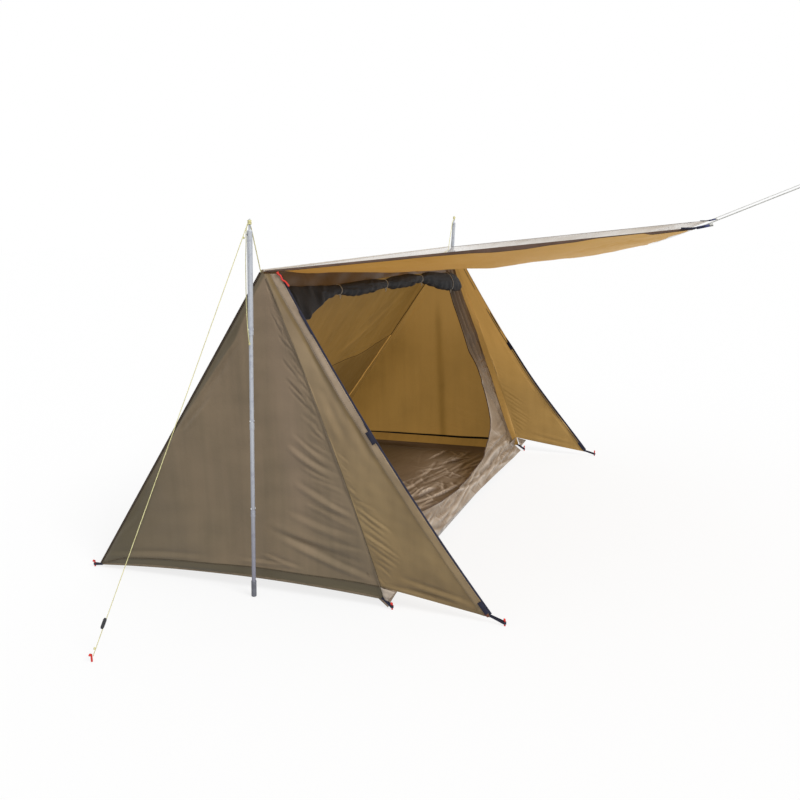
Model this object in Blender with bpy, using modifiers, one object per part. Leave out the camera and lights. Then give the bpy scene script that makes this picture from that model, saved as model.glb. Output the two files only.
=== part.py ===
"""Backpacking tent with one ridge, two outside poles and a raised door panel.

Run with: blender --background --python part.py
Units are metres and +Z is up. X runs along the ridge, -Y is the open front, and the
origin is the point of the ground below the middle of the ridge.
"""

import math

import bmesh
import bpy
import numpy as np
from mathutils import Matrix, Vector

# Driving dimensions of the shelter
RIDGE_HEIGHT = 1.30
RIDGE_HALF = 1.20
REAR_FOOT = 0.89
REAR_HEM = 0.012
DOOR_FOOT = -0.48
WING_TIP = Vector((0.0, -0.884, 0.037))
WING_HEM_END = Vector((0.0, -0.879, 0.022))
WING_TOP = Vector((0.0, -0.074, 1.290))
WING_EDGE_BOW = 0.028
SEAM_BOW = 0.018
SEAM_TOP = Vector((0.0, -0.0060, 1.2900))
SEAM_FOOT = Vector((0.0, -0.443, 0.086))
WALL_PEAK = Vector((0.0, -0.0055, 1.3060))
HEM_HEIGHTS = (0.012, 0.050, 0.035)
HEM_FRONT = -0.458
HEM_LAST = 0.80

# Cloth is drawn thicker than it is, so that it can be a solid
CLOTH = 0.004
GAP = 0.0003

# Raised door panel, the awning
AWNING_CORNER = Vector((1.233, -1.547, 1.434))
AWNING_ROOT_HALF = 1.205
AWNING_RIDGE_SAG = 0.032
AWNING_FRONT_SAG = 0.068
AWNING_BELLY = 0.036
AWNING_SCOOP = 0.187
AWNING_SAG_POWER = 5.5
AWNING_SAG_START = 0.05
AWNING_COLUMNS = 20
AWNING_ROWS = 10
AWNING_LINE_SLOPE = 0.40
AWNING_LINE_LENGTHS = {-1: 0.34, 1: 0.56}
AWNING_LOOP_RADIUS = 0.016
AWNING_LINE_RADIUS = 0.0018

# Inner door surround
BAND_DROP = 0.093
DOOR_TOP_HALF = 0.975
DOOR_HALF = 0.87
DOOR_TAPER_START = 0.45
DOOR_CORNER_RADIUS = 0.34
SILL_HEIGHT = 0.158
SILL_FOOT = 0.005
SILL_LIFT = 0.053
SILL_CREST = -0.5
SILL_LIFT_POWER = 1.5
DOOR_EDGE_HALF = RIDGE_HALF - CLOTH / 2 - GAP
DOOR_DOWN = Vector((0.0, DOOR_FOOT, -RIDGE_HEIGHT)).normalized()
DOOR_OUTWARD = Vector((0.0, DOOR_DOWN.z, -DOOR_DOWN.y))

# Rolled mesh door below the band: x, drop down the door's slope, and radius
ROLL_SHAPE = (
    (-0.955, 0.160, 0.052),
    (-0.840, 0.143, 0.042),
    (-0.720, 0.131, 0.030),
    (-0.620, 0.126, 0.021),
    (-0.500, 0.131, 0.026),
    (-0.360, 0.138, 0.029),
    (-0.210, 0.140, 0.026),
    (-0.070, 0.143, 0.021),
    (0.070, 0.146, 0.026),
    (0.200, 0.149, 0.029),
    (0.340, 0.151, 0.026),
    (0.460, 0.156, 0.021),
    (0.600, 0.166, 0.031),
    (0.750, 0.187, 0.039),
    (0.870, 0.208, 0.034),
    (0.955, 0.228, 0.040),
)
TIED_SHAPES = (3, 7, 11, 14)
TIE_RADIUS = 0.0025

# Groundsheet
FLOOR_HALF = 1.0895
FLOOR_FRONT = -0.428
FLOOR_REAR = 0.795
TRAY_CLOTH = 0.003
TRAY_STEP = 0.001
TRAY_RIM = 0.058
TRAY_RIM_INSET = 0.0012
TRAY_REAR_INSET = 0.0042
TRAY_LOW_FRONT = -0.4275
TRAY_RIM_FRONT = -0.4345
TRAY_CORNER_INSET = 0.004
TRAY_FRONT_LOW = -0.430
TRAY_FRONT_RIM = 0.092
TRAY_FRONT_INSET = 0.004

# Poles
POLE_FOOT = Vector((1.26, 0.085, 0.0))
POLE_TOP = Vector((1.29, -0.010, 1.492))
POLE_FOOT_RADIUS = 0.0105
POLE_FOOT_LENGTH = 0.070
POLE_LOWER_RADIUS = 0.008
POLE_UPPER_RADIUS = 0.010
POLE_JOINTS = (0.355, 0.712, 1.067)
POLE_COLLAR_HALF = 0.012
POLE_COLLAR_STEP = 0.0012
POLE_CHAMFER = 0.004
POLE_TUBE_END = 1.453
POLE_PIN_RADIUS = 0.004
POLE_PIN_CHAMFER = 0.002
FOOT_CHAMFERS = (0.0015, 0.002)

# Ropes and pegs
RIDGE_CORD_RADIUS = 0.006
PEAK_CORD_RADIUS = 0.002
PEAK_CORD_START = Vector((0.0, 0.004, 1.297))
PEAK_CORD_BEND = Vector((0.020, -0.004, 1.456))
PEAK_CORD_END = 1.470
PEAK_CORD_REST = 0.001
GUY_RADIUS = 0.0015
GUY_HITCH = 1.480
GUY_TIE_HEIGHT = 0.0182
GUY_FOOT = Vector((1.900, 0.360, 0.0))
TAIL_RADIUS = 0.0015
TAIL_ROUTE = (
    (-1.2897, -0.0031, 1.4760),
    (-1.2905, 0.0035, 1.4620),
    (-1.2915, 0.0067, 1.4440),
    (-1.2914, 0.0087, 1.4100),
    (-1.2899, 0.0157, 1.3400),
    (-1.2885, 0.0206, 1.2700),
    (-1.2881, 0.0241, 1.2000),
    (-1.2897, 0.0246, 1.1300),
    (-1.2932, 0.0217, 1.0800),
    (-1.2935, 0.0205, 1.0600),
    (-1.2906, 0.0201, 1.0350),
)
PEG_RADIUS = 0.0035
PEG_HEIGHT = 0.026
PEG_CROOK = Vector((0.006, 0.0, 0.004))
PEG_LIP = Vector((0.005, 0.0, -0.004))
REAR_PEG = Vector((RIDGE_HALF, 0.922, 0.0))
FRONT_PEG = Vector((RIDGE_HALF + 0.004, -0.492, 0.0))
WING_PEG = Vector((RIDGE_HALF + 0.006, -0.938, 0.0))
FRONT_CORNER = Vector((0.0, HEM_FRONT, 0.0345))
LOOP_RADIUS = 0.003
LOOP_HEIGHT = 0.012

SIDES = {-1: "left", 1: "right"}


def clear_scene():
    """Remove everything the file starts with."""
    for thing in list(bpy.data.objects):
        bpy.data.objects.remove(thing, do_unlink=True)


def finish_material(name, colour, roughness, metallic=0.0):
    """A Principled material of one colour."""
    material = bpy.data.materials.new(name)
    material.use_nodes = True
    shader = material.node_tree.nodes["Principled BSDF"]
    shader.inputs["Base Color"].default_value = (*colour, 1.0)
    shader.inputs["Roughness"].default_value = roughness
    shader.inputs["Metallic"].default_value = metallic
    return material


def add(name, data, material, collection):
    """Link a new object that carries its material."""
    thing = bpy.data.objects.new(name, data)
    data.materials.append(material)
    collection.objects.link(thing)
    return thing


def tube(name, points, radius, material, collection, radii=None, cyclic=False, bevel=2):
    """A round tube with filled ends along straight runs between points."""
    curve = bpy.data.curves.new(name, "CURVE")
    curve.dimensions = "3D"
    curve.bevel_depth = radius
    curve.bevel_resolution = bevel
    curve.use_fill_caps = not cyclic
    spline = curve.splines.new("POLY")
    spline.points.add(len(points) - 1)
    for i, place in enumerate(points):
        spline.points[i].co = (*place, 1.0)
        spline.points[i].radius = radii[i] / radius if radii else 1.0
    spline.use_cyclic_u = cyclic
    return add(name, curve, material, collection)


def panel(name, outline, material, collection, thickness=CLOTH):
    """A flat sheet whose corners are points in space that share a plane."""
    outline = [Vector(p) for p in outline]
    along = (outline[1] - outline[0]).normalized()
    facing = sum(
        ((a - outline[0]).cross(b - outline[0]) for a, b in zip(outline[1:], outline[2:])),
        Vector((0.0, 0.0, 0.0)),
    ).normalized()
    across = facing.cross(along)
    curve = bpy.data.curves.new(name, "CURVE")
    curve.dimensions = "2D"
    curve.fill_mode = "BOTH"
    curve.extrude = thickness / 2
    spline = curve.splines.new("POLY")
    spline.points.add(len(outline) - 1)
    for i, corner in enumerate(outline):
        step = corner - outline[0]
        spline.points[i].co = (step.dot(along), step.dot(across), 0.0, 1.0)
    spline.use_cyclic_u = True
    sheet = add(name, curve, material, collection)
    turn = Matrix((along, across, facing)).transposed().to_4x4()
    sheet.matrix_world = Matrix.Translation(outline[0]) @ turn
    return sheet


def turned(name, profile, foot, top, material, collection, steps=16):
    """A turned piece on the line from foot to top. Its profile is (radius, height) pairs."""
    mesh = bpy.data.meshes.new(name)
    rows = [(radius, 0.0, height) for radius, height in profile]
    mesh.from_pydata(rows, [(i, i + 1) for i in range(len(rows) - 1)], [])
    piece = add(name, mesh, material, collection)
    screw = piece.modifiers.new("turn", "SCREW")
    screw.axis = "Z"
    screw.steps = steps
    screw.render_steps = steps
    screw.use_merge_vertices = True
    screw.merge_threshold = 0.0001
    piece.location = foot
    piece.rotation_mode = "QUATERNION"
    piece.rotation_quaternion = (top - foot).to_track_quat("Z", "Y")
    return piece


def bowed(start, end, bow, towards, count=9):
    """Points from start to end on a shallow arch that leans towards a direction."""
    points = []
    for i in range(count):
        t = i / (count - 1)
        points.append(start.lerp(end, t) + towards * (4 * bow * t * (1 - t)))
    return points


def at_side(points, side, x=RIDGE_HALF):
    """Move points into the end plane on one side."""
    return [Vector((side * x, p.y, p.z)) for p in points]


def hem_height(y):
    """Height of the end wall's hem: lowest at the rear corner, lifted in the middle."""
    front, rear = SEAM_FOOT.y, REAR_FOOT
    t = (rear - y) / (rear - front)
    first, middle, last = HEM_HEIGHTS
    return first + t * (4 * middle - 3 * first - last) + t * t * 2 * (first + last - 2 * middle)


def rear_plane(z, outward=0.0):
    """Point of the rear slope at height z, moved outward along its normal."""
    run, rise = REAR_FOOT, RIDGE_HEIGHT - REAR_HEM
    slope = math.hypot(run, rise)
    y = run * (RIDGE_HEIGHT - z) / rise
    return Vector((0.0, y + outward * rise / slope, z + outward * run / slope))


def door_plane(x, drop):
    """Point of the inner door's plane, drop metres down its slope from the ridge."""
    slope = math.hypot(DOOR_FOOT, RIDGE_HEIGHT)
    return Vector((x, drop * DOOR_FOOT / slope, RIDGE_HEIGHT * (1 - drop / slope)))


def door_drop(z):
    """How far down the door's slope the height z lies."""
    return (RIDGE_HEIGHT - z) * math.hypot(DOOR_FOOT, RIDGE_HEIGHT) / RIDGE_HEIGHT


def seam_line():
    """The sewn line between end wall and wing, from the peak to its foot."""
    return bowed(SEAM_TOP, SEAM_FOOT, SEAM_BOW, Vector((0.0, -0.94, -0.34)))


def build_end_walls(looks, collection):
    """The triangular end walls, each with its skirt down to the hem."""
    seam = seam_line()
    rear_low = rear_plane(REAR_HEM, CLOTH)
    rear_high = rear_plane(RIDGE_HEIGHT, CLOTH)
    hem = [Vector((0.0, y, hem_height(y))) for y in np.linspace(HEM_FRONT, HEM_LAST, 9)]
    for side, word in SIDES.items():
        outline = seam + hem + [rear_low, rear_high, WALL_PEAK]
        panel(f"{word}_end_wall", at_side(outline, side), looks["outer cloth"], collection)


def build_wings(looks, collection):
    """The wings in front of the end walls, and the bound edge that the door zips to."""
    seam = [p + Vector((0.0, -GAP * 1.1, 0.0)) for p in seam_line()]
    edge = bowed(WING_TIP, WING_TOP, WING_EDGE_BOW, Vector((0.0, 0.84, -0.54)))
    binding_out = LOOP_RADIUS + CLOTH / 2
    for side, word in SIDES.items():
        outline = seam + [WING_HEM_END] + edge
        panel(f"{word}_wing", at_side(outline, side), looks["wing cloth"], collection)
        line = [p + Vector((0.0, -0.84, 0.54)) * (binding_out + GAP - CLOTH / 2) for p in edge]
        tube(
            f"{word}_wing_binding",
            at_side(line, side),
            LOOP_RADIUS,
            looks["navy webbing"],
            collection,
        )


def build_rear(looks, collection):
    """The sloping rear panel between the end walls."""
    half = RIDGE_HALF - CLOTH / 2 - GAP
    rise = RIDGE_HEIGHT - REAR_HEM
    top = rear_plane(RIDGE_HEIGHT - (RIDGE_CORD_RADIUS + GAP) * rise / math.hypot(REAR_FOOT, rise))
    foot = rear_plane(REAR_HEM)
    outline = [
        Vector((-half, top.y, top.z)),
        Vector((-half, foot.y, foot.z)),
        Vector((half, foot.y, foot.z)),
        Vector((half, top.y, top.z)),
    ]
    panel("rear_panel", outline, looks["outer cloth"], collection)


def build_ridge(looks, collection):
    """The ridge cord in its sewn sleeve."""
    half = RIDGE_HALF - CLOTH / 2 - GAP
    ends = [Vector((-half, 0.0, RIDGE_HEIGHT)), Vector((half, 0.0, RIDGE_HEIGHT))]
    tube("ridge_cord", ends, RIDGE_CORD_RADIUS, looks["outer cloth"], collection)


def awning_point(u, v):
    """Point of the raised door panel. u runs from -1 to 1 across it, v from ridge to front."""
    root = -RIDGE_CORD_RADIUS - GAP
    loose = 1 - abs(u) ** AWNING_SAG_POWER
    half = AWNING_ROOT_HALF + (AWNING_CORNER.x - AWNING_ROOT_HALF) * v
    sag = AWNING_RIDGE_SAG * (1 - v) + AWNING_FRONT_SAG * v
    sag = sag * min(1.0, v / AWNING_SAG_START) + AWNING_BELLY * 4 * v * (1 - v)
    y = root + (AWNING_CORNER.y - root) * v + loose * AWNING_SCOOP * v * v
    z = RIDGE_HEIGHT + (AWNING_CORNER.z - RIDGE_HEIGHT) * v - loose * sag
    return Vector((u * half, y, z))


def build_awning(looks, collection):
    """The raised door panel, a sagging sheet."""
    mesh = bpy.data.meshes.new("awning")
    grid = bmesh.new()
    bmesh.ops.create_grid(grid, x_segments=AWNING_COLUMNS, y_segments=AWNING_ROWS, size=1.0)
    for vertex in grid.verts:
        vertex.co = awning_point(vertex.co.x, (1 - vertex.co.y) / 2)
    bmesh.ops.recalc_face_normals(grid, faces=grid.faces)
    grid.to_mesh(mesh)
    grid.free()
    sheet = add("awning", mesh, looks["awning cloth"], collection)
    solid = sheet.modifiers.new("cloth thickness", "SOLIDIFY")
    solid.thickness = CLOTH
    solid.offset = 0.0
    mesh.shade_smooth()


def build_awning_lines(looks, collection):
    """A taut line from each front corner of the awning, ending in a tied loop."""
    for side, word in SIDES.items():
        corner = Vector((side * AWNING_CORNER.x, AWNING_CORNER.y, AWNING_CORNER.z))
        pull = Vector((0.0, -1.0, AWNING_LINE_SLOPE)).normalized()
        start = corner + pull * (2 * GAP)
        length = AWNING_LINE_LENGTHS[side]
        neck = start + pull * (length - 2 * AWNING_LOOP_RADIUS)
        centre = neck + pull * AWNING_LOOP_RADIUS * 1.25
        up = Vector((side, 0.0, 0.0)).cross(pull)
        ring = []
        for i in range(11):
            turn = math.radians(-145 + 29 * i)
            ring.append(centre + (pull * math.cos(turn) + up * math.sin(turn)) * AWNING_LOOP_RADIUS)
        tube(
            f"awning_line_{word}",
            [start, neck] + ring,
            AWNING_LINE_RADIUS,
            looks["guy cord"],
            collection,
        )


def door_half(drop):
    """Half the doorway's width at a drop: it narrows from the band to the round corners."""
    corner = door_drop(SILL_HEIGHT) - DOOR_CORNER_RADIUS
    share = min(1.0, max(0.0, (drop - DOOR_TAPER_START) / (corner - DOOR_TAPER_START)))
    return DOOR_TOP_HALF + (DOOR_HALF - DOOR_TOP_HALF) * share * share * (3 - 2 * share)


def sill_foot(x):
    """Drop of the sill's lower edge, a slack arch that is highest left of its middle."""
    reach = math.copysign(DOOR_EDGE_HALF, x - SILL_CREST) - SILL_CREST
    share = (x - SILL_CREST) / reach
    return door_drop(SILL_FOOT + SILL_LIFT * (1 - share**SILL_LIFT_POWER))


def build_door_surround(looks, collection):
    """The cloth around the inner doorway: band, two sides with round corners, and sill."""
    top = RIDGE_CORD_RADIUS + GAP
    sill = door_drop(SILL_HEIGHT)
    band = top + BAND_DROP
    split = DOOR_HALF - DOOR_CORNER_RADIUS
    corners = [(-DOOR_EDGE_HALF, top), (-DOOR_EDGE_HALF, band), (DOOR_EDGE_HALF, band), (DOOR_EDGE_HALF, top)]
    panel("door_band", [door_plane(x, s) for x, s in corners], looks["door cloth"], collection)
    foot = [(x, sill_foot(x)) for x in np.linspace(-split, split, 9)]
    corners = [(-split, sill)] + foot + [(split, sill)]
    panel("door_sill", [door_plane(x, s) for x, s in corners], looks["door cloth"], collection)
    arc = []
    for i in range(9):
        turn = math.radians(90 * i / 8)
        arc.append(
            (
                split + GAP + DOOR_CORNER_RADIUS * math.sin(turn),
                sill - DOOR_CORNER_RADIUS * (1 - math.cos(turn)),
            )
        )
    edge = [(door_half(s), s) for s in np.linspace(sill - DOOR_CORNER_RADIUS, DOOR_TAPER_START, 9)]
    inner = arc[:-1] + edge + [(DOOR_TOP_HALF, band + GAP)]
    for side, word in SIDES.items():
        outer = [(DOOR_EDGE_HALF, band + GAP)]
        outer += [(x, sill_foot(side * x)) for x in np.linspace(DOOR_EDGE_HALF, split + GAP, 7)]
        outline = [door_plane(side * x, s) for x, s in outer + inner]
        panel(f"door_side_{word}", outline, looks["door cloth"], collection)


def build_mesh_roll(looks, collection):
    """The mesh door rolled up below the band, slack at its left end, and the ties that hold it."""
    points = [door_plane(x, drop) for x, drop, _ in ROLL_SHAPE]
    radii = [radius for _, _, radius in ROLL_SHAPE]
    tube("mesh_door_roll", points, max(radii), looks["mesh"], collection, radii=radii)
    for number, place in enumerate(TIED_SHAPES, start=1):
        along = (points[place + 1] - points[place - 1]).normalized()
        down = along.cross(DOOR_OUTWARD)
        reach = radii[place] + TIE_RADIUS + GAP
        ring = []
        for i in range(16):
            turn = 2 * math.pi * i / 16
            ring.append(points[place] + (DOOR_OUTWARD * math.cos(turn) + down * math.sin(turn)) * reach)
        tube(
            f"roll_tie_{number}",
            ring,
            TIE_RADIUS,
            looks["navy webbing"],
            collection,
            cyclic=True,
            bevel=1,
        )


def build_groundsheet(looks, collection):
    """The groundsheet: a flat floor and four low sloping edges up to the hems and the sill."""
    floor = [
        Vector((-FLOOR_HALF, FLOOR_FRONT, CLOTH / 2)),
        Vector((FLOOR_HALF, FLOOR_FRONT, CLOTH / 2)),
        Vector((FLOOR_HALF, FLOOR_REAR, CLOTH / 2)),
        Vector((-FLOOR_HALF, FLOOR_REAR, CLOTH / 2)),
    ]
    panel("groundsheet", floor, looks["floor cloth"], collection)
    rim_x = RIDGE_HALF - CLOTH / 2 - TRAY_RIM_INSET
    rim_y = rear_plane(TRAY_RIM).y - TRAY_REAR_INSET
    low_x, low_y = FLOOR_HALF + TRAY_STEP, FLOOR_REAR + TRAY_STEP
    for side, word in SIDES.items():
        edge = [
            Vector((side * low_x, TRAY_LOW_FRONT, TRAY_CLOTH)),
            Vector((side * low_x, low_y, TRAY_CLOTH)),
            Vector((side * rim_x, rim_y, TRAY_RIM)),
            Vector((side * rim_x, TRAY_RIM_FRONT, TRAY_RIM)),
        ]
        panel(f"groundsheet_edge_{word}", edge, looks["floor cloth"], collection, TRAY_CLOTH)
    low_x, rim_x = low_x - TRAY_CORNER_INSET, rim_x - TRAY_CORNER_INSET
    edge = [
        Vector((-low_x, low_y, TRAY_CLOTH)),
        Vector((low_x, low_y, TRAY_CLOTH)),
        Vector((rim_x, rim_y, TRAY_RIM)),
        Vector((-rim_x, rim_y, TRAY_RIM)),
    ]
    panel("groundsheet_edge_rear", edge, looks["floor cloth"], collection, TRAY_CLOTH)
    front_y = door_plane(0.0, door_drop(TRAY_FRONT_RIM)).y + TRAY_FRONT_INSET
    slope = (front_y - TRAY_FRONT_LOW) / (TRAY_FRONT_RIM - TRAY_CLOTH)
    half = [(low_x, TRAY_CLOTH), (rim_x, TRAY_RIM), (rim_x, TRAY_FRONT_RIM)]
    rim = [(-x, z) for x, z in half] + [(x, z) for x, z in reversed(half)]
    edge = [Vector((x, TRAY_FRONT_LOW + slope * (z - TRAY_CLOTH), z)) for x, z in rim]
    panel("groundsheet_edge_front", edge, looks["floor cloth"], collection, TRAY_CLOTH)


def pole_at(side, height):
    """Point of the pole's middle line at a height above the ground."""
    point = POLE_FOOT.lerp(POLE_TOP, height / POLE_TOP.z)
    return Vector((side * point.x, point.y, point.z))


def pole_lift():
    """How far a leaning pole is raised so that its foot's low edge rests on the ground."""
    lean = math.hypot(POLE_TOP.x - POLE_FOOT.x, POLE_TOP.y - POLE_FOOT.y) / POLE_TOP.z
    return Vector((0.0, 0.0, POLE_FOOT_RADIUS * lean))


def build_poles(looks, collection):
    """The two poles: rubber foot, lower shaft of three sections, and upper section with pin."""
    stretch = (POLE_TOP - POLE_FOOT).length / POLE_TOP.z
    collar = POLE_LOWER_RADIUS + POLE_COLLAR_STEP
    lower = [(0.0, POLE_FOOT_LENGTH + GAP), (POLE_LOWER_RADIUS, POLE_FOOT_LENGTH + GAP)]
    for place in POLE_JOINTS[:2]:
        lower += [
            (POLE_LOWER_RADIUS, place - POLE_COLLAR_HALF),
            (collar, place - POLE_COLLAR_HALF),
            (collar, place + POLE_COLLAR_HALF),
            (POLE_LOWER_RADIUS, place + POLE_COLLAR_HALF),
        ]
    lower += [(POLE_LOWER_RADIUS, POLE_JOINTS[2] - GAP), (0.0, POLE_JOINTS[2] - GAP)]
    foot = [
        (0.0, 0.0),
        (POLE_FOOT_RADIUS - FOOT_CHAMFERS[0], 0.0),
        (POLE_FOOT_RADIUS, FOOT_CHAMFERS[0]),
        (POLE_FOOT_RADIUS, POLE_FOOT_LENGTH - FOOT_CHAMFERS[1] * 2),
        (POLE_FOOT_RADIUS - FOOT_CHAMFERS[1], POLE_FOOT_LENGTH),
        (0.0, POLE_FOOT_LENGTH),
    ]
    upper = [
        (0.0, POLE_JOINTS[2]),
        (POLE_UPPER_RADIUS, POLE_JOINTS[2]),
        (POLE_UPPER_RADIUS, POLE_TUBE_END - POLE_CHAMFER),
        (POLE_UPPER_RADIUS - POLE_CHAMFER, POLE_TUBE_END),
        (POLE_PIN_RADIUS, POLE_TUBE_END),
        (POLE_PIN_RADIUS, POLE_TOP.z - POLE_PIN_CHAMFER),
        (POLE_PIN_RADIUS - POLE_PIN_CHAMFER, POLE_TOP.z),
        (0.0, POLE_TOP.z),
    ]
    shapes = {"foot": (foot, "rubber"), "lower": (lower, "pole metal"), "upper": (upper, "pole metal")}
    for side, word in SIDES.items():
        base = pole_at(side, 0.0) + pole_lift()
        top = pole_at(side, POLE_TOP.z) + pole_lift()
        for part, (profile, look) in shapes.items():
            rows = [(r, h * stretch) for r, h in reversed(profile)]
            turned(f"{word}_pole_{part}", rows, base, top, looks[look], collection)


def build_ropes(looks, collection):
    """The peak cords and the guy lines."""
    for side, word in SIDES.items():
        out = RIDGE_HALF + CLOTH / 2 + PEAK_CORD_RADIUS + GAP
        peak = PEAK_CORD_START + Vector((side * out, 0.0, 0.0))
        bend = pole_at(side, PEAK_CORD_BEND.z) + pole_lift()
        bend -= Vector((side * PEAK_CORD_BEND.x, PEAK_CORD_BEND.y, 0.0))
        pin = pole_at(side, PEAK_CORD_END) + pole_lift()
        pin -= Vector((side * (POLE_PIN_RADIUS + GAP + PEAK_CORD_REST), 0.0, 0.0))
        tube(f"{word}_peak_cord", [peak, bend, pin], PEAK_CORD_RADIUS, looks["guy cord"], collection)
        anchor = Vector((side * GUY_FOOT.x, GUY_FOOT.y, GUY_TIE_HEIGHT))
        hitch = pole_at(side, GUY_HITCH) + pole_lift()
        away = anchor - hitch
        level = Vector((away.x, away.y, 0.0)).normalized()
        start = hitch + level * (POLE_PIN_RADIUS + GAP + GUY_RADIUS)
        end = anchor - level * (PEG_RADIUS + GAP + GUY_RADIUS)
        tube(f"{word}_guy_line", [start, end], GUY_RADIUS, looks["guy cord"], collection)


def smooth_route(route, count=48):
    """Evenly spread points on a smooth curve through a route's own points."""
    places = [Vector(p) for p in route]
    padded = [places[0] * 2 - places[1]] + places + [places[-1] * 2 - places[-2]]
    points = []
    for i in range(count):
        at = i / (count - 1) * (len(places) - 1)
        k = min(int(at), len(places) - 2)
        t = at - k
        a, b, c, d = padded[k : k + 4]
        bend = (2 * a - 5 * b + 4 * c - d) * t * t + (3 * b - a - 3 * c + d) * t**3
        points.append((2 * b + (c - a) * t + bend) / 2)
    return points


def build_tail(looks, collection):
    """The guy line's spare end, which hangs from the left pole's pin beside the pole."""
    tube("left_tail_cord", smooth_route(TAIL_ROUTE), TAIL_RADIUS, looks["guy cord"], collection)


def build_pegs(looks, collection):
    """Pegs from the ground up, and the loops that tie the cloth's corners to them."""
    places = {
        "rear": (REAR_PEG, rear_plane(REAR_HEM, CLOTH)),
        "front": (FRONT_PEG, FRONT_CORNER),
        "wing": (WING_PEG, (WING_TIP + WING_HEM_END) / 2),
        "guy": (GUY_FOOT, None),
    }
    for side, word in SIDES.items():
        for which, (spot, corner) in places.items():
            spot = Vector((side * spot.x, spot.y, 0.0))
            stem = spot + Vector((0.0, 0.0, PEG_HEIGHT))
            crook = stem + Vector((side * PEG_CROOK.x, 0.0, PEG_CROOK.z))
            lip = crook + Vector((side * PEG_LIP.x, 0.0, PEG_LIP.z))
            tube(
                f"{word}_{which}_peg",
                [spot, stem, crook, lip],
                PEG_RADIUS,
                looks["peg metal"],
                collection,
            )
            if corner is None:
                continue
            tie = Vector((side * RIDGE_HALF, corner.y, corner.z))
            hold = spot + Vector((0.0, 0.0, LOOP_HEIGHT))
            pull = (hold - tie).normalized()
            start = tie + pull * (2 * GAP)
            level = math.hypot(pull.x, pull.y)
            end = hold - pull * ((PEG_RADIUS + GAP + LOOP_RADIUS * abs(pull.z)) / level)
            tube(
                f"{word}_{which}_loop",
                [start, end],
                LOOP_RADIUS,
                looks["navy webbing"],
                collection,
            )


def main():
    """Build every piece of the tent."""
    clear_scene()
    collection = bpy.data.collections.new("backpacking tent")
    bpy.context.scene.collection.children.link(collection)
    looks = {
        "outer cloth": finish_material("outer cloth", (0.19, 0.14, 0.09), 0.6),
        "wing cloth": finish_material("wing cloth", (0.24, 0.15, 0.07), 0.6),
        "awning cloth": finish_material("awning cloth", (0.42, 0.26, 0.08), 0.6),
        "door cloth": finish_material("door cloth", (0.26, 0.21, 0.16), 0.6),
        "floor cloth": finish_material("floor cloth", (0.10, 0.08, 0.055), 0.45),
        "mesh": finish_material("mesh", (0.02, 0.022, 0.03), 0.8),
        "navy webbing": finish_material("navy webbing", (0.02, 0.025, 0.06), 0.7),
        "guy cord": finish_material("guy cord", (0.55, 0.55, 0.18), 0.7),
        "pole metal": finish_material("pole metal", (0.55, 0.56, 0.62), 0.35, 0.9),
        "peg metal": finish_material("peg metal", (0.55, 0.06, 0.05), 0.4, 0.8),
        "rubber": finish_material("rubber", (0.22, 0.22, 0.24), 0.7),
    }
    build_end_walls(looks, collection)
    build_wings(looks, collection)
    build_rear(looks, collection)
    build_ridge(looks, collection)
    build_awning(looks, collection)
    build_awning_lines(looks, collection)
    build_door_surround(looks, collection)
    build_mesh_roll(looks, collection)
    build_groundsheet(looks, collection)
    build_poles(looks, collection)
    build_ropes(looks, collection)
    build_tail(looks, collection)
    build_pegs(looks, collection)
    bpy.context.view_layer.update()


main()
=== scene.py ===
"""The looks of a backpacking tent: cloth, seams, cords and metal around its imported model.

Units are metres and +Z is up. X runs along the ridge, -Y is the open front, and the origin
is the point of the ground below the middle of the ridge.
"""

from __future__ import annotations

import logging
import math
from dataclasses import dataclass
from enum import Enum
from functools import cache
from typing import Iterable, Sequence

import bmesh
import bpy
import numpy as np
from mathutils import Matrix, Vector

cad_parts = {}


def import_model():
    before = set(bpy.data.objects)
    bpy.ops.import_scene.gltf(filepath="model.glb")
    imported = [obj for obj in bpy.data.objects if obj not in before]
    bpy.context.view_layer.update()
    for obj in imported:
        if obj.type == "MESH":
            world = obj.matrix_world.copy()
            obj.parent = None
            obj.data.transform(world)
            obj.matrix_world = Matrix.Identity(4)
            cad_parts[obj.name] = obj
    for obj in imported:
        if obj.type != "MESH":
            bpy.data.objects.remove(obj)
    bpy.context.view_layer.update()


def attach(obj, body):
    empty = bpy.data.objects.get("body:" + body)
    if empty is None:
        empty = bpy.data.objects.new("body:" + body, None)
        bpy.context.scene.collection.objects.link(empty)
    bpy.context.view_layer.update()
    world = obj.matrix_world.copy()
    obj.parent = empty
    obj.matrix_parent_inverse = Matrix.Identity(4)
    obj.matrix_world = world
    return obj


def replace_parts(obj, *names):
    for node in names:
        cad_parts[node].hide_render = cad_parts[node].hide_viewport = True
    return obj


log = logging.getLogger("tent")

Points = np.ndarray
Colour = tuple[float, float, float]
Rows = tuple[tuple[float, ...], ...]

SIDES = {-1: "left", 1: "right"}
BODY = "root"
TURN = 2 * math.pi
THOUSANDTH = 0.001

# Driving sizes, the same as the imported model's
RIDGE_HEIGHT = 1.30
RIDGE_HALF = 1.20
REAR_FOOT = 0.89
REAR_HEM = 0.012
DOOR_FOOT = -0.48
CLOTH = 0.004
GAP = 0.0003
PEG_RADIUS = 0.0035
BETWEEN_WALLS = RIDGE_HALF - CLOTH / 2 - GAP


def srgb(colour: Colour) -> Colour:
    """A colour as light, from the 0 to 255 numbers of a screen."""
    parts = [c / 255 for c in colour]
    return tuple(c / 12.92 if c <= 0.04045 else ((c + 0.055) / 1.055) ** 2.4 for c in parts)


def metres(rows: Rows) -> Points:
    """A table of millimetres, or of thousandths, as an array."""
    return np.array(rows, float) * THOUSANDTH


def point(x: float, y: float, z: float) -> Points:
    """One point or direction as an array."""
    return np.array((x, y, z), float)


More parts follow.
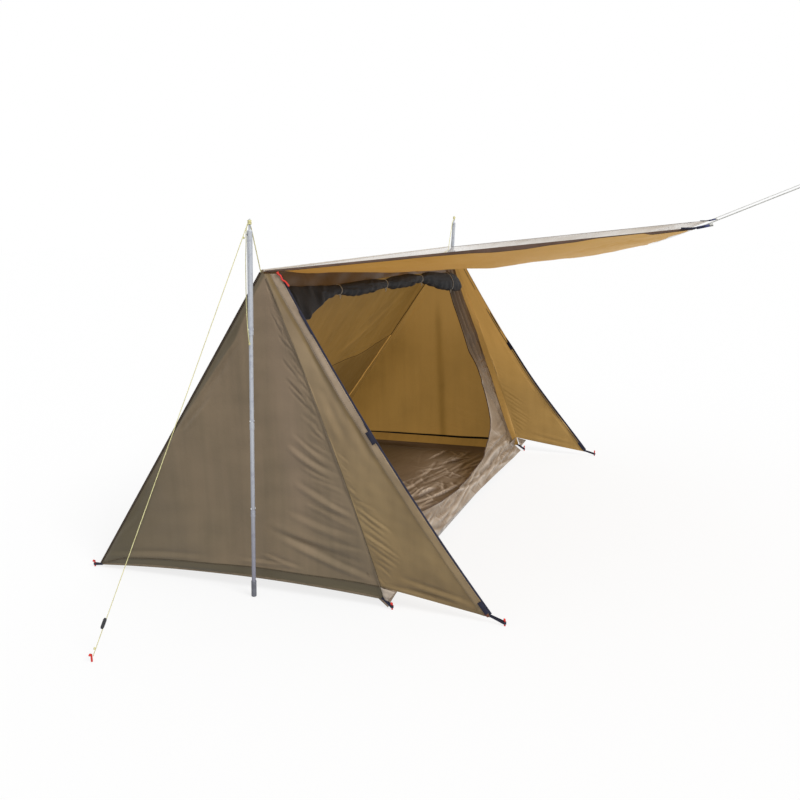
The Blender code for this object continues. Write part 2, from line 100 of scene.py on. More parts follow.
def unit(vectors: Points) -> Points:
    """The vectors at length 1."""
    return vectors / np.maximum(np.linalg.norm(vectors, axis=-1, keepdims=True), 1e-12)


def ease(values: Points, low: float, high: float) -> Points:
    """A smooth step from 0 at low to 1 at high."""
    t = np.clip((values - low) / (high - low), 0.0, 1.0)
    return t * t * (3 - 2 * t)


def hump(values: Points, middle: float, width: float) -> Points:
    """A soft hump, 1 at its middle, with this half width."""
    return np.exp(-(((values - middle) / width) ** 2))


def circle(count: int) -> Points:
    """Angles evenly round a circle."""
    return np.linspace(0, TURN, count, endpoint=False)


def line(start: Points, end: Points, count: int) -> Points:
    """Evenly spread points from start to end."""
    return start + (end - start) * np.linspace(0, 1, count)[:, None]


def bowed(start: Points, end: Points, bow: float, towards: Points, count: int) -> Points:
    """Points on a shallow arch whose middle leans by bow towards a direction."""
    t = np.linspace(0, 1, count)[:, None]
    return start + (end - start) * t + towards * (4 * bow * t * (1 - t))


def resample(path: Points, step: float) -> Points:
    """The path with points at about this distance from each other."""
    length = np.linalg.norm(np.diff(path, axis=0), axis=1).sum()
    return respaced(path, max(2, int(round(length / step)) + 1))


def respaced(path: Points, count: int) -> Points:
    """The path with this many points at even distances."""
    lengths = np.r_[0.0, np.cumsum(np.linalg.norm(np.diff(path, axis=0), axis=1))]
    places = np.linspace(0, lengths[-1], count)
    return np.stack([np.interp(places, lengths, column) for column in path.T], axis=1)


def smooth_route(route: Sequence[Sequence[float]], count: int) -> Points:
    """Evenly spread points on a smooth curve through a route's own points.

    Args:
        route: The points that it passes through.
        count: How many points to give.

    Returns:
        The points of the curve.
    """
    places = np.array(route, float)
    padded = np.vstack([places[0] * 2 - places[1], places, places[-1] * 2 - places[-2]])
    at = np.linspace(0, len(places) - 1, count)
    k = np.minimum(at.astype(int), len(places) - 2)
    t = (at - k)[:, None]
    a, b, c, d = (padded[k + shift] for shift in range(4))
    bend = (2 * a - 5 * b + 4 * c - d) * t * t + (3 * b - a - 3 * c + d) * t**3
    return (2 * b + (c - a) * t + bend) / 2


def coons(top: Points, bottom: Points, left: Points, right: Points) -> Points:
    """A sheet spanned between four edge lines.

    Args:
        top, bottom: The first and last row, from left to right.
        left, right: The first and last column, from top to bottom.

    Returns:
        Points as rows by columns by 3.
    """
    u = np.linspace(0, 1, len(top))[None, :, None]
    v = np.linspace(0, 1, len(left))[:, None, None]
    rows = (1 - v) * top[None] + v * bottom[None]
    columns = (1 - u) * left[:, None] + u * right[:, None]
    corners = (1 - u) * ((1 - v) * top[0] + v * bottom[0]) + u * ((1 - v) * top[-1] + v * bottom[-1])
    return rows + columns - corners


def ripples(a: Points, b: Points, wavelength: float, seed: int, count: int = 7) -> Points:
    """Soft uneven waves in all directions, from about -1 to 1.

    Args:
        a, b: Coordinates on the cloth, in metres.
        wavelength: The usual distance between two crests.
        seed, count: Which waves, and how many are added up.

    Returns:
        The height at each place.
    """
    rng = np.random.default_rng(seed)
    total = np.zeros(np.broadcast(a, b).shape)
    for _ in range(count):
        turn = rng.uniform(0, math.pi)
        pitch = TURN / (wavelength * rng.uniform(0.6, 1.6))
        total += np.sin((a * math.cos(turn) + b * math.sin(turn)) * pitch + rng.uniform(0, 6.28))
    return total / math.sqrt(count)


def crumples(
    a: Points, b: Points, wavelength: float, seed: int, count: int = 5, sharp: float = 1.6
) -> Points:
    """Sharp crests with flat faces between them, as in creased cloth, from 0 to about 1.

    Args:
        a, b: Coordinates on the cloth, in metres.
        wavelength: The usual distance between two crests.
        seed, count: Which creases, and how many sets of them are added up.
        sharp: How narrow the crests are.

    Returns:
        The height at each place.
    """
    rng = np.random.default_rng(seed)
    total = np.zeros(np.broadcast(a, b).shape)
    for _ in range(count):
        warp = ripples(a, b, wavelength * 2.5, int(rng.integers(1, 9999)), 4) * wavelength * 0.35
        turn = rng.uniform(0, math.pi)
        pitch = math.pi / (wavelength * rng.uniform(0.7, 1.5))
        along = (a + warp) * math.cos(turn) + (b + warp) * math.sin(turn)
        wave = np.sin(along * pitch + rng.uniform(0, 6.28))
        total += (1 - np.abs(wave)) ** sharp
    return total / count


@dataclass(frozen=True)
class Fold:
    """One fold in a cloth: a crest with a trough beside it, fading out at both ends.

    Attributes:
        start, end: Its ends, in the cloth's two coordinates.
        width, depth: The half width and the height of the crest.
        bend: How far its middle leans to its left.
        trough: The depth of the trough as a share of the crest's height.
    """

    start: tuple[float, float]
    end: tuple[float, float]
    width: float
    depth: float
    bend: float = 0.0
    trough: float = 0.6

    def height(self, a: Points, b: Points) -> Points:
        """The fold's height at places on the cloth."""
        run_a, run_b = self.end[0] - self.start[0], self.end[1] - self.start[1]
        length = math.hypot(run_a, run_b)
        step_a, step_b = a - self.start[0], b - self.start[1]
        inside = np.clip((step_a * run_a + step_b * run_b) / length**2, 0.0, 1.0)
        across = (step_b * run_a - step_a * run_b) / length - 4 * self.bend * inside * (1 - inside)
        crest = hump(across, 0.0, self.width) - self.trough * hump(across, -1.7 * self.width, self.width)
        return self.depth * np.sin(math.pi * inside) ** 0.8 * crest


def raised(folds: Iterable[Fold], a: Points, b: Points) -> Points:
    """The folds' heights at places on the cloth, added up."""
    return sum(fold.height(a, b) for fold in folds)


def folds_from(rows: Rows, strength: float, trough: float) -> list[Fold]:
    """Folds from a table in millimetres.

    Args:
        rows: Start and end, half width, height and, where it isn't 0, the bend of each fold.
        strength: What their heights are multiplied by.
        trough: The trough of each.

    Returns:
        The folds.
    """
    folds = []
    for a, b, c, d, width, height, *bend in map(metres, rows):
        folds.append(Fold((a, b), (c, d), width, height * strength, sum(bend), trough))
    return folds


@dataclass(frozen=True)
class Crush:
    """Many straight sharp creases in trodden cloth, most of them leaning one way.

    Attributes:
        area: Least and most of the first coordinate, then of the second, where they start.
        lean, spread: Their usual direction and how much it varies, in degrees.
        width, length: The least and most half width and length of a crease.
        count, seed: How many there are, and which.
    """

    area: tuple[float, float, float, float]
    lean: float
    spread: float
    width: tuple[float, float]
    length: tuple[float, float]
    count: int
    seed: int

    def height(self, a: Points, b: Points) -> Points:
        """The creases' height at places on the cloth."""
        rng = np.random.default_rng(self.seed)
        total = np.zeros(np.broadcast(a, b).shape)
        for _ in range(self.count):
            turn = math.radians(rng.normal(self.lean, self.spread))
            reach = rng.uniform(*self.length)
            start = (rng.uniform(*self.area[:2]), rng.uniform(*self.area[2:]))
            end = (start[0] + reach * math.cos(turn), start[1] + reach * math.sin(turn))
            width = rng.uniform(*self.width)
            depth = width * rng.uniform(0.3, 0.8)
            total += Fold(start, end, width, depth, rng.uniform(-0.012, 0.012), 0.9).height(a, b)
        return total


class Value:
    """A number that changes over a surface, for use in Python expressions."""

    def __init__(self, sheet: NodeSheet, socket: bpy.types.NodeSocket) -> None:
        """Keep the socket that gives the number."""
        self.sheet, self.socket = sheet, socket

    def _math(self, operation: str, *terms: Value | float) -> Value:
        """The result of a Math node on these terms."""
        node = self.sheet.node("ShaderNodeMath", {"operation": operation}, dict(enumerate(terms)))
        return Value(self.sheet, node.outputs[0])

    def __add__(self, other: Value | float) -> Value:
        """This plus other."""
        return self._math("ADD", self, other)

    __radd__ = __add__

    def __sub__(self, other: Value | float) -> Value:
        """This minus other."""
        return self._math("SUBTRACT", self, other)

    def __rsub__(self, other: float) -> Value:
        """Other minus this."""
        return self._math("SUBTRACT", other, self)

    def __mul__(self, other: Value | float) -> Value:
        """This times other."""
        return self._math("MULTIPLY", self, other)

    __rmul__ = __mul__

    def sine(self) -> Value:
        """The sine of this, in radians."""
        return self._math("SINE", self)

    def size(self) -> Value:
        """This without its sign."""
        return self._math("ABSOLUTE", self)

    def at_least(self, low: float) -> Value:
        """This, or low where it is less."""
        return self._math("MAXIMUM", self, low)

    def at_most(self, high: float) -> Value:
        """This, or high where it is more."""
        return self._math("MINIMUM", self, high)

    def between(self, low: float, high: float) -> Value:
        """A smooth step from 0 where this is low to 1 where it is high."""
        sockets = {"Value": self, "From Min": low, "From Max": high}
        made = self.sheet.node("ShaderNodeMapRange", {"interpolation_type": "SMOOTHSTEP"}, sockets)
        return Value(self.sheet, made.outputs[0])


class NodeSheet:
    """The nodes of one material, or of the world."""

    def __init__(self, name: str, tree: bpy.types.NodeTree | None = None) -> None:
        """Start a material with its Principled shader, or take another node tree."""
        if tree is None:
            self.material = bpy.data.materials.new(name)
            self.material.use_nodes = True
            self.shader = self.material.node_tree.nodes["Principled BSDF"]
        self.tree = tree or self.material.node_tree

    def node(self, kind: str, settings: dict, sockets: dict) -> bpy.types.Node:
        """Add a node.

        Args:
            kind: The node's type.
            settings: Its own settings, which are set first.
            sockets: Values or links by the input's name or number.

        Returns:
            The node.
        """
        made = self.tree.nodes.new(kind)
        for name, value in settings.items():
            setattr(made, name, value)
        for key, value in sockets.items():
            self.feed(made.inputs[key], value)
        return made

    def feed(self, socket: bpy.types.NodeSocket, value: object) -> None:
        """Link a value into a socket, or set it there."""
        source = value.socket if isinstance(value, Value) else value
        if isinstance(source, bpy.types.NodeSocket):
            self.tree.links.new(source, socket)
        else:
            socket.default_value = source

    def place(self) -> bpy.types.NodeSocket:
        """The place on the piece, in metres in the tent's own frame."""
        return self.node("ShaderNodeTexCoord", {}, {}).outputs["Object"]

    def mark(self, name: str, output: str = "Fac") -> bpy.types.NodeSocket:
        """A number or vector that the mesh carries under this name."""
        return self.node("ShaderNodeAttribute", {"attribute_name": name}, {}).outputs[output]

    def stretched(self, vector: bpy.types.NodeSocket, scale: Colour) -> bpy.types.NodeSocket:
        """The vector with each of its parts times a number."""
        return self.node("ShaderNodeVectorMath", {"operation": "MULTIPLY"}, {0: vector, 1: scale}).outputs[0]

    def noise(self, vector: bpy.types.NodeSocket, scale: float, detail: float) -> Value:
        """Cloudy noise from 0 to 1."""
        sockets = {"Vector": vector, "Scale": scale, "Detail": detail}
        return Value(self, self.node("ShaderNodeTexNoise", {}, sockets).outputs[0])

    def split(self, vector: bpy.types.NodeSocket) -> list[Value]:
        """The three parts of a vector."""
        return [Value(self, part) for part in self.node("ShaderNodeSeparateXYZ", {}, {0: vector}).outputs]

    def blend(self, share: Value, low: object, high: object) -> bpy.types.NodeSocket:
        """A colour between two others.

        Args:
            share: 0 for the first and 1 for the second.
            low, high: The two colours, as screen numbers or as a socket.

        Returns:
            The mixed colour.
        """
        colours = [(*srgb(c), 1.0) if isinstance(c, tuple) else c for c in (low, high)]
        sockets = {0: share, 6: colours[0], 7: colours[1]}
        return self.node("ShaderNodeMix", {"data_type": "RGBA"}, sockets).outputs[2]

    def bump(self, height: Value) -> None:
        """Raise the surface by a height in metres."""
        made = self.node("ShaderNodeBump", {}, {"Height": height, "Distance": 1.0})
        self.feed(self.shader.inputs["Normal"], made.outputs[0])

    def dress(self, **sockets: object) -> bpy.types.Material:
        """Set the shader's sockets, named with _ for a space, and give the material."""
        for name, value in sockets.items():
            value = (*value, 1.0) if isinstance(value, tuple) else value
            self.feed(self.shader.inputs[name.replace("_", " ")], value)
        return self.material


@dataclass(frozen=True)
class Finish:
    """What every finish has.

    Attributes:
        slot: The model's material slot; not used.
        name: The material's name.
        base, shade: The usual and the darker colour, as the 0 to 255 numbers of a screen.
    """

    slot: str
    name: str
    base: Colour
    shade: Colour


@dataclass(frozen=True)
class ClothFinish(Finish):
    """Thin woven cloth, coated on one side. Its shade is the colour where the mark is below 0.

    Attributes:
        accent: The colour where the mark is above 0.
        roughness: How dull it is.
        painted_glow: Painted light: how strongly it glows, emission that stands in for daylight coming
            through the cloth.
        crinkle: The height of its fine crinkles in metres.
        coat, coat_roughness: How much clear coating it has, and how dull that is.
        specular: How strongly it mirrors.
        mark: The mesh's number that gives its tint, which in many pieces carries painted light and shade.
    """

    accent: Colour
    roughness: float
    painted_glow: float = 0.0
    crinkle: float = 0.0005
    coat: float = 0.0
    coat_roughness: float = 0.3
    specular: float = 0.35
    mark: str = "tint"

    THREAD = 0.0011

    def build(self) -> bpy.types.Material:
        """Make the material."""
        sheet = NodeSheet(self.name)
        cut = sheet.mark("cut", "Vector")
        tint = Value(sheet, sheet.mark(self.mark))
        across, along, _ = sheet.split(cut)
        clouds = sheet.noise(cut, 3.5, 4.0).between(0.35, 0.75)
        streaks = sheet.noise(sheet.stretched(cut, (26.0, 1.6, 1.0)), 1.0, 2.0).between(0.3, 0.8)
        colour = sheet.blend(clouds * 0.35 + streaks * 0.2, self.base, self.shade)
        colour = sheet.blend((tint * -1.0).at_least(0.0), colour, self.shade)
        colour = sheet.blend(tint.at_least(0.0), colour, self.accent)
        weave = (across * (TURN / self.THREAD)).sine() * (along * (TURN / self.THREAD)).sine()
        crease = sheet.noise(cut, 45.0, 5.0) - 0.5
        sheet.bump(weave * 0.00004 + crease * self.crinkle)
        # Painted glow: the cloth's own colour given off as light, standing in for daylight through it.
        if self.painted_glow:
            sheet.dress(Emission_Color=colour, Emission_Strength=self.painted_glow)
        return sheet.dress(
            Base_Color=colour,
            Roughness=self.roughness + (sheet.noise(cut, 14.0, 2.0) - 0.5) * 0.16,
            Sheen_Weight=0.08,
            Sheen_Roughness=0.5,
            Specular_IOR_Level=self.specular,
            Coat_Weight=self.coat,
            Coat_Roughness=self.coat_roughness,
        )


@dataclass(frozen=True)
class TapeFinish(Finish):
    """Woven tape, thread or rolled netting, with ribs across its run."""

    rib: float = 0.0016
    relief: float = 0.00015
    roughness: float = 0.75
    # Painted glow: emission that stands in for daylight coming through the tape.
    painted_glow: float = 0.0

    def build(self) -> bpy.types.Material:
        """Make the material."""
        sheet = NodeSheet(self.name)
        place = sheet.place()
        across, along, up = sheet.split(place)
        ribs = ((across + along) * (TURN / self.rib)).sine() * ((along + up) * (TURN / self.rib)).sine()
        fuzz = sheet.noise(place, 900.0, 2.0)
        # Uneven darker patches at random.
        patchy = sheet.noise(place, 30.0, 3.0).between(0.35, 0.75)
        sheet.bump(ribs * self.relief + fuzz * 0.0001)
        colour = sheet.blend(patchy * 0.7 + ribs.size() * 0.2, self.base, self.shade)
        # Painted glow: the tape's colour given off as light.
        if self.painted_glow:
            sheet.dress(Emission_Color=colour, Emission_Strength=self.painted_glow)
        gloss = self.roughness + (fuzz - 0.5) * 0.1
        return sheet.dress(Base_Color=colour, Roughness=gloss, Sheen_Weight=0.05, Specular_IOR_Level=0.3)


@dataclass(frozen=True)
class MetalFinish(Finish):
    """Drawn metal tube or rod, with fine lines along it and dull scuffs, and painted shade that darkens it
    towards the ground.
    """

    # The painted shade colour at the ground.
    low: Colour
    roughness: float
    metallic: float

    def build(self) -> bpy.types.Material:
        """Make the material."""
        sheet = NodeSheet(self.name)
        place = sheet.place()
        drawn = sheet.noise(sheet.stretched(place, (900.0, 900.0, 7.0)), 1.0, 3.0)
        scuffs = sheet.noise(place, 55.0, 5.0).between(0.5, 0.72)
        sheet.bump(drawn * 0.00004)
        colour = sheet.blend(scuffs * 0.6 + drawn * 0.25, self.base, self.shade)
        # Painted shade: darker towards the ground.
        colour = sheet.blend(sheet.split(place)[2].between(-0.15, 0.80), self.low, colour)
        gloss = self.roughness + drawn * 0.08 + scuffs * 0.12
        return sheet.dress(Base_Color=colour, Roughness=gloss, Metallic=self.metallic)


@dataclass(frozen=True)
class PlasticFinish(Finish):
    """Moulded plastic or rubber with a fine grain."""

    roughness: float

    def build(self) -> bpy.types.Material:
        """Make the material."""
        sheet = NodeSheet(self.name)
        place = sheet.place()
        dust = sheet.noise(place, 60.0, 4.0).between(0.4, 0.8)
        sheet.bump(sheet.noise(place, 1400.0, 2.0) * 0.00008)
        colour = sheet.blend(dust * 0.6, self.base, self.shade)
        return sheet.dress(Base_Color=colour, Roughness=self.roughness + dust * 0.15)


class Look(Enum):
    """The finishes of the tent."""

    WALL = ClothFinish(
        "outer_cloth", "wall_outside", (133, 115, 91), (88, 79, 59), (154, 132, 112), 0.46, crinkle=0.0004
    )
    # Painted light: the wall cloth's inside as a golden, glowing copy, standing in for daylight through the
    # brown cloth.
    WALL_INSIDE_GLOW = ClothFinish(
        "outer_cloth", "wall_inside_painted_glow", (136, 104, 50), (96, 72, 32), (178, 140, 78),
        0.6, 0.58, 0.0003, mark="inside_light",
    )
    # Painted light: a warmer, lighter copy of the outer cloth for daylight through the single-layer wing.
    WING = ClothFinish(
        "wing_cloth", "wing_outside", (143, 121, 83), (114, 92, 58), (170, 151, 131), 0.42, crinkle=0.0004
    )
    # Painted light: the wing's inside as a golden, glowing copy, standing in for daylight through it.
    WING_INSIDE_GLOW = ClothFinish(
        "wing_cloth", "wing_inside_painted_glow", (146, 116, 64), (120, 92, 46), (192, 152, 84),
        0.6, 0.50, 0.0003, mark="inside_light",
    )
    AWNING = ClothFinish(
        "awning_cloth", "awning_top", (152, 136, 114), (128, 112, 90), (172, 156, 134), 0.14,
        crinkle=0.0001, coat=1.0, coat_roughness=0.08, specular=1.0,
    )
    # Painted light: the awning's underside as a golden, glowing copy, standing in for daylight through it.
    AWNING_UNDERSIDE_GLOW = ClothFinish(
        "awning_cloth", "awning_underside_painted_glow", (180, 134, 56), (160, 110, 34), (198, 158, 88),
        0.6, 0.55, mark="inside_light",
    )
    # Its accent paints the highlights on the doorway's creases and sill.
    DOOR = ClothFinish(
        "door_cloth", "doorway_cloth", (146, 128, 108), (92, 74, 52), (196, 184, 170), 0.45, crinkle=0.0012
    )
    # A small painted glow; its accent is the painted highlight on the crests.
    FLOOR = ClothFinish(
        "floor_cloth", "groundsheet_cloth", (126, 108, 90), (72, 57, 41), (200, 185, 166),
        0.34, 0.07, 0.0012, 0.3,
    )
    MESH = TapeFinish("mesh", "netting", (10, 18, 29), (5, 9, 16), 0.0022, 0.0002, 0.65)
    WEBBING = TapeFinish("webbing", "navy_webbing", (42, 43, 62), (28, 29, 42))
    BINDING = TapeFinish("webbing", "dark_binding", (58, 46, 33), (42, 33, 24))
    # The awning's cloth made darker: painted shade on the hanging zip flaps; the doorway's piping uses it
    # too.
    FLAP = TapeFinish("awning_cloth", "zip_flap", (101, 78, 65), (82, 62, 50), 0.0012, 0.00006, 0.6)
    PATCH = TapeFinish("webbing", "brown_patch", (122, 72, 56), (96, 56, 44))
    SEAM = TapeFinish("outer_cloth", "seam_tape", (78, 68, 50), (62, 54, 40), 0.0012, 0.00006, 0.6)
    WALL_TAPE = TapeFinish("outer_cloth", "wall_tape", (124, 109, 88), (104, 91, 72), 0.0012, 0.00006, 0.5)
    # Painted light: golden piping that glows, standing in for daylight through it.
    GOLD_TAPE = TapeFinish(
        "outer_cloth", "gold_piping_painted_glow", (192, 150, 82), (170, 128, 64), 0.0012, 0.0001, 0.6, 0.55
    )
    THREAD = TapeFinish("outer_cloth", "thread", (122, 107, 86), (98, 85, 66), 0.0006)
    CORD = TapeFinish("cord", "guy_cord", (228, 222, 168), (204, 198, 140), 0.0012, 0.0002)
    PALE_CORD = TapeFinish("cord", "pale_cord", (226, 226, 220), (196, 196, 190), 0.0012, 0.0002)
    RED_CORD = TapeFinish("cord", "red_cord", (226, 70, 58), (176, 42, 36), 0.0012, 0.0002)
    POLE = MetalFinish("pole_metal", "pole_tube", (188, 192, 198), (160, 163, 175), (126, 124, 138), 0.6, 0.3)
    STEEL = MetalFinish(
        "pole_metal", "pin_steel", (226, 228, 228), (190, 192, 194), (190, 190, 194), 0.3, 0.6
    )
    PEG = MetalFinish("peg_metal", "peg_wire", (206, 48, 38), (140, 24, 22), (206, 48, 38), 0.35, 0.55)
    RUBBER = PlasticFinish("rubber", "foot_rubber", (104, 106, 114), (80, 80, 88), 0.6)
    BLACK = PlasticFinish("rubber", "black_plastic", (30, 31, 36), (52, 52, 56), 0.45)
    BLUE = PlasticFinish("rubber", "blue_plastic", (44, 52, 104), (30, 36, 76), 0.4)

    @cache
    def material(self) -> bpy.types.Material:
        """The finish's material, made when it is first asked for."""
        return self.value.build()

    def dress(self, node: str) -> None:
        """Give a node of the model this finish."""
        bpy.data.objects[node].material_slots[0].material = self.material()


class Skin:
    """The vertices and faces of one piece while it is being made.

    Attributes:
        BAND: A strap's cross-section as shares of its width and thickness.
        STITCH, STITCH_FACES: A stitch's corners along, across and off the row, and its faces.
    """

    BAND = (
        (-0.5, -0.2), (-0.46, -0.5), (0.46, -0.5), (0.5, -0.2), (0.5, 0.2), (0.46, 0.5), (-0.46, 0.5),
        (-0.5, 0.2),
    )
    STITCH = ((-1, 0, -1), (-0.6, -1, 0.4), (-0.6, 1, 0.4), (1, 0, -1), (0.6, -1, 0.4), (0.6, 1, 0.4))
    STITCH_FACES = ((0, 1, 2), (3, 5, 4), (0, 3, 4, 1), (1, 4, 5, 2), (2, 5, 3, 0))

    def __init__(self) -> None:
        """Start with nothing."""
        self.points: list[Points] = []
        self.faces: list[tuple[int, ...]] = []
        self.count = 0

    def _add(self, points: Points) -> int:
        """Add vertices and give the first one's number."""
        first = self.count
        self.points.append(points.reshape(-1, 3))
        self.count += len(self.points[-1])
        return first

    def loft(self, rings: Points, closed: bool = False) -> Skin:
        """A skin over rings of points.

        Args:
            rings: Rings by sides by 3.
            closed: Whether the last ring joins the first, as in a loop.

        Returns:
            This skin.
        """
        count, sides = rings.shape[:2]
        first = self._add(rings)
        for i in range(count if closed else count - 1):
            a, b = first + i * sides, first + (i + 1) % count * sides
            for j in range(sides):
                k = (j + 1) % sides
                self.faces.append((a + j, a + k, b + k, b + j))
        if not closed:
            last = first + (count - 1) * sides
            self.faces.append(tuple(range(first + sides - 1, first - 1, -1)))
            self.faces.append(tuple(range(last, last + sides)))
        return self

    def band(self, path: Points, normals: Points, width: float | Points, thickness: float) -> Skin:
        """A flat strap along a path.

        Args:
            path: The strap's middle line.
            normals, width: The direction its face points in and its width, for all or each point.
            thickness: Its thickness.

        Returns:
            This skin.
        """
        tangents = unit(np.gradient(path, axis=0))
        sides = unit(np.cross(np.broadcast_to(normals, path.shape), tangents))
        faces = unit(np.cross(tangents, sides))
        widths = np.broadcast_to(width, len(path))[:, None]
        rings = [path + sides * (a * widths) + faces * (b * thickness) for a, b in self.BAND]
        return self.loft(np.stack(rings, axis=1))

    def tube(self, path: Points, radius: float | Points, sides: int = 8, closed: bool = False) -> Skin:
        """A round tube along a path.

        Args:
            path: Its middle line.
            radius: Its radius, one for all or one for each point.
            sides: How many sides.
            closed: Whether it is a ring.

        Returns:
            This skin.
        """
        ahead = np.roll(path, -1, axis=0) - np.roll(path, 1, axis=0) if closed else np.gradient(path, axis=0)
        tangents = unit(ahead)
        first = point(0, 0, 1) if abs(tangents[0][2]) < 0.9 else point(1, 0, 0)
        across = unit(np.cross(tangents[0], first))
        rings = []
        for place, tangent, r in zip(path, tangents, np.broadcast_to(radius, len(path))):
            across = unit(across - tangent * across.dot(tangent))
            up = np.cross(tangent, across)
            rings.append([place + (across * math.cos(t) + up * math.sin(t)) * r for t in circle(sides)])
        return self.loft(np.array(rings), closed)

    def coil(
        self, middle: Points, axis: Points, across: Points, up: Points, size: float,
        shape: tuple[float, float, int],
    ) -> Skin:
        """Three turns of cord round a line.

        Args:
            middle: Where they are.
            axis, across, up: The line's direction and two square to it.
            size: The turns' radius.
            shape: The distance between two turns, the cord's radius and the points of a turn.

        Returns:
            This skin.
        """
        pitch, cord, count = shape
        turns = circle(count)[:, None]
        for shift in (-pitch, 0.0, pitch):
            ring = middle + axis * shift + (across * np.cos(turns) + up * np.sin(turns)) * size
            self.tube(ring, cord, 6, closed=True)
        return self

    def stitches(self, path: Points, normals: Points, pitch: float = 0.008, size: float = 0.0006) -> Skin:
        """A row of stitches that lies on the cloth.

        Args:
            path: The row's line.
            normals: The direction away from the cloth.
            pitch: The distance from stitch to stitch.
            size: The thread's half thickness.

        Returns:
            This skin.
        """
        places = resample(path, pitch)
        ahead = unit(np.gradient(places, axis=0))
        picked = np.linspace(0, len(path) - 1, len(places)).round().astype(int)
        side = unit(np.cross(np.broadcast_to(normals, path.shape)[picked], ahead))
        up = np.cross(ahead, side)
        corners = [
            places + ahead * (pitch * 0.32 * a) + side * (size * b) + up * (size * c)
            for a, b, c in self.STITCH
        ]
        first = self._add(np.stack(corners, axis=1))
        for start in range(first, self.count, len(self.STITCH)):
            self.faces += [tuple(start + corner for corner in face) for face in self.STITCH_FACES]
        return self

    def piece(self, name: str, look: Look, smooth: float = 40.0) -> bpy.types.Object:
        """Make the piece.

        Args:
            name: Its name.
            look: Its finish.
            smooth: Edges sharper than this many degrees stay sharp.

        Returns:
            The object, which rides on the tent.
        """
        mesh = bpy.data.meshes.new(name)
        mesh.from_pydata(np.vstack(self.points).tolist(), [], self.faces)
        shape = bmesh.new()
        shape.from_mesh(mesh)
        bmesh.ops.recalc_face_normals(shape, faces=shape.faces)
        shape.to_mesh(mesh)
        shape.free()
        mesh.shade_smooth()
        mesh.set_sharp_from_angle(angle=math.radians(smooth))
        mesh.materials.append(look.material())
        return register(bpy.data.objects.new(name, mesh))


def register(made: bpy.types.Object) -> bpy.types.Object:
    """Link a new piece, let it ride on the tent, report it and give it back."""
    bpy.context.scene.collection.objects.link(made)
    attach(made, BODY)
    if made.type == "MESH":
        log.info("%s: %d faces", made.name, len(made.data.polygons))
    return made


@dataclass
class Cloth:
    """A sheet of cloth as a grid of points, with its cut coordinates and tints.

    Attributes:
        points: Rows by columns by 3.
        cut: The two coordinates of the flat cloth, rows by columns each.
        tint, inside_light: The outer and inner face's tint, from -1, shaded, to 1, accent; in many pieces
            they carry painted light and shade.
    """

    points: Points
    cut: tuple[Points, Points]
    tint: Points
    inside_light: Points | None = None

    THICKNESS = 0.0015

    def piece(
        self, name: str, outer: Look, inner: Look, outward: Points, closed: bool = False
    ) -> bpy.types.Object:
        """Make the sheet.

        Args:
            name: Its name.
            outer, inner: The finishes of its two faces.
            outward: A direction on its outer side.
            closed: Whether the last column joins the first.

        Returns:
            The object, which rides on the tent.
        """
        shape = self.points.shape[:2]
        number = np.arange(shape[0] * shape[1]).reshape(shape)
        if closed:
            number = np.concatenate([number, number[:, :1]], axis=1)
        cells = np.stack([number[:-1, :-1], number[:-1, 1:], number[1:, 1:], number[1:, :-1]], axis=-1)
        faces = cells.reshape(-1, 4)
        places = self.points.reshape(-1, 3)
        normals = np.cross(
            places[faces[:, 1]] - places[faces[:, 0]], places[faces[:, 3]] - places[faces[:, 0]]
        )
        if normals.sum(axis=0).dot(outward) < 0:
            faces = faces[:, ::-1]
        mesh = bpy.data.meshes.new(name)
        mesh.from_pydata(places.tolist(), [], faces.tolist())
        flat = np.stack([*self.cut, np.zeros(shape)], axis=-1)
        mark = mesh.attributes.new("cut", "FLOAT_VECTOR", "POINT")
        mark.data.foreach_set("vector", flat.astype(np.float32).ravel())
        inside_light = self.tint if self.inside_light is None else self.inside_light
        for label, values in (("tint", self.tint), ("inside_light", inside_light)):
            mark = mesh.attributes.new(label, "FLOAT", "POINT")
            mark.data.foreach_set("value", np.clip(values, -1, 1).astype(np.float32).ravel())
        mesh.shade_smooth()
        mesh.materials.append(outer.material())
        mesh.materials.append(inner.material())
        made = bpy.data.objects.new(name, mesh)
        solid = made.modifiers.new("thickness", "SOLIDIFY")
        solid.thickness, solid.offset, solid.material_offset = self.THICKNESS, 0.0, 1
        made.modifiers.new("shading", "WEIGHTED_NORMAL").weight = 60
        return register(made)


# Foot of the seam between end wall and wing
SEAM_Y, SEAM_Z = -0.443, 0.086


def seam_line(count: int) -> Points:
    """The sewn line between end wall and wing, from the peak to its foot."""
    return bowed(point(0, -0.006, 1.290), point(0, SEAM_Y, SEAM_Z), 0.018, point(0, -0.94, -0.34), count)


def seam_y(z: Points) -> Points:
    """Where the seam between end wall and wing lies, for a height."""
    seam = seam_line(60)[::-1]
    return np.interp(z, seam[:, 2], seam[:, 1])


def hem_height(y: Points) -> Points:
    """Height of the end wall's hem: lowest at the rear corner, lifted in the middle."""
    t = (REAR_FOOT - y) / (REAR_FOOT - SEAM_Y)
    first, middle, last = 0.012, 0.050, 0.035
    return first + t * (4 * middle - 3 * first - last) + t * t * 2 * (first + last - 2 * middle)


def rear_point(x: Points, z: Points, outward: Points | float = 0.0) -> Points:
    """Points of the rear slope, or off it by outward, from their places along X and Z."""
    rise = RIDGE_HEIGHT - REAR_HEM
    slope = math.hypot(REAR_FOOT, rise)
    y = REAR_FOOT * (RIDGE_HEIGHT - z) / rise
    places = [x + 0 * z, y + outward * rise / slope + 0 * x, z + outward * REAR_FOOT / slope + 0 * x]
    return np.stack(places, axis=-1)


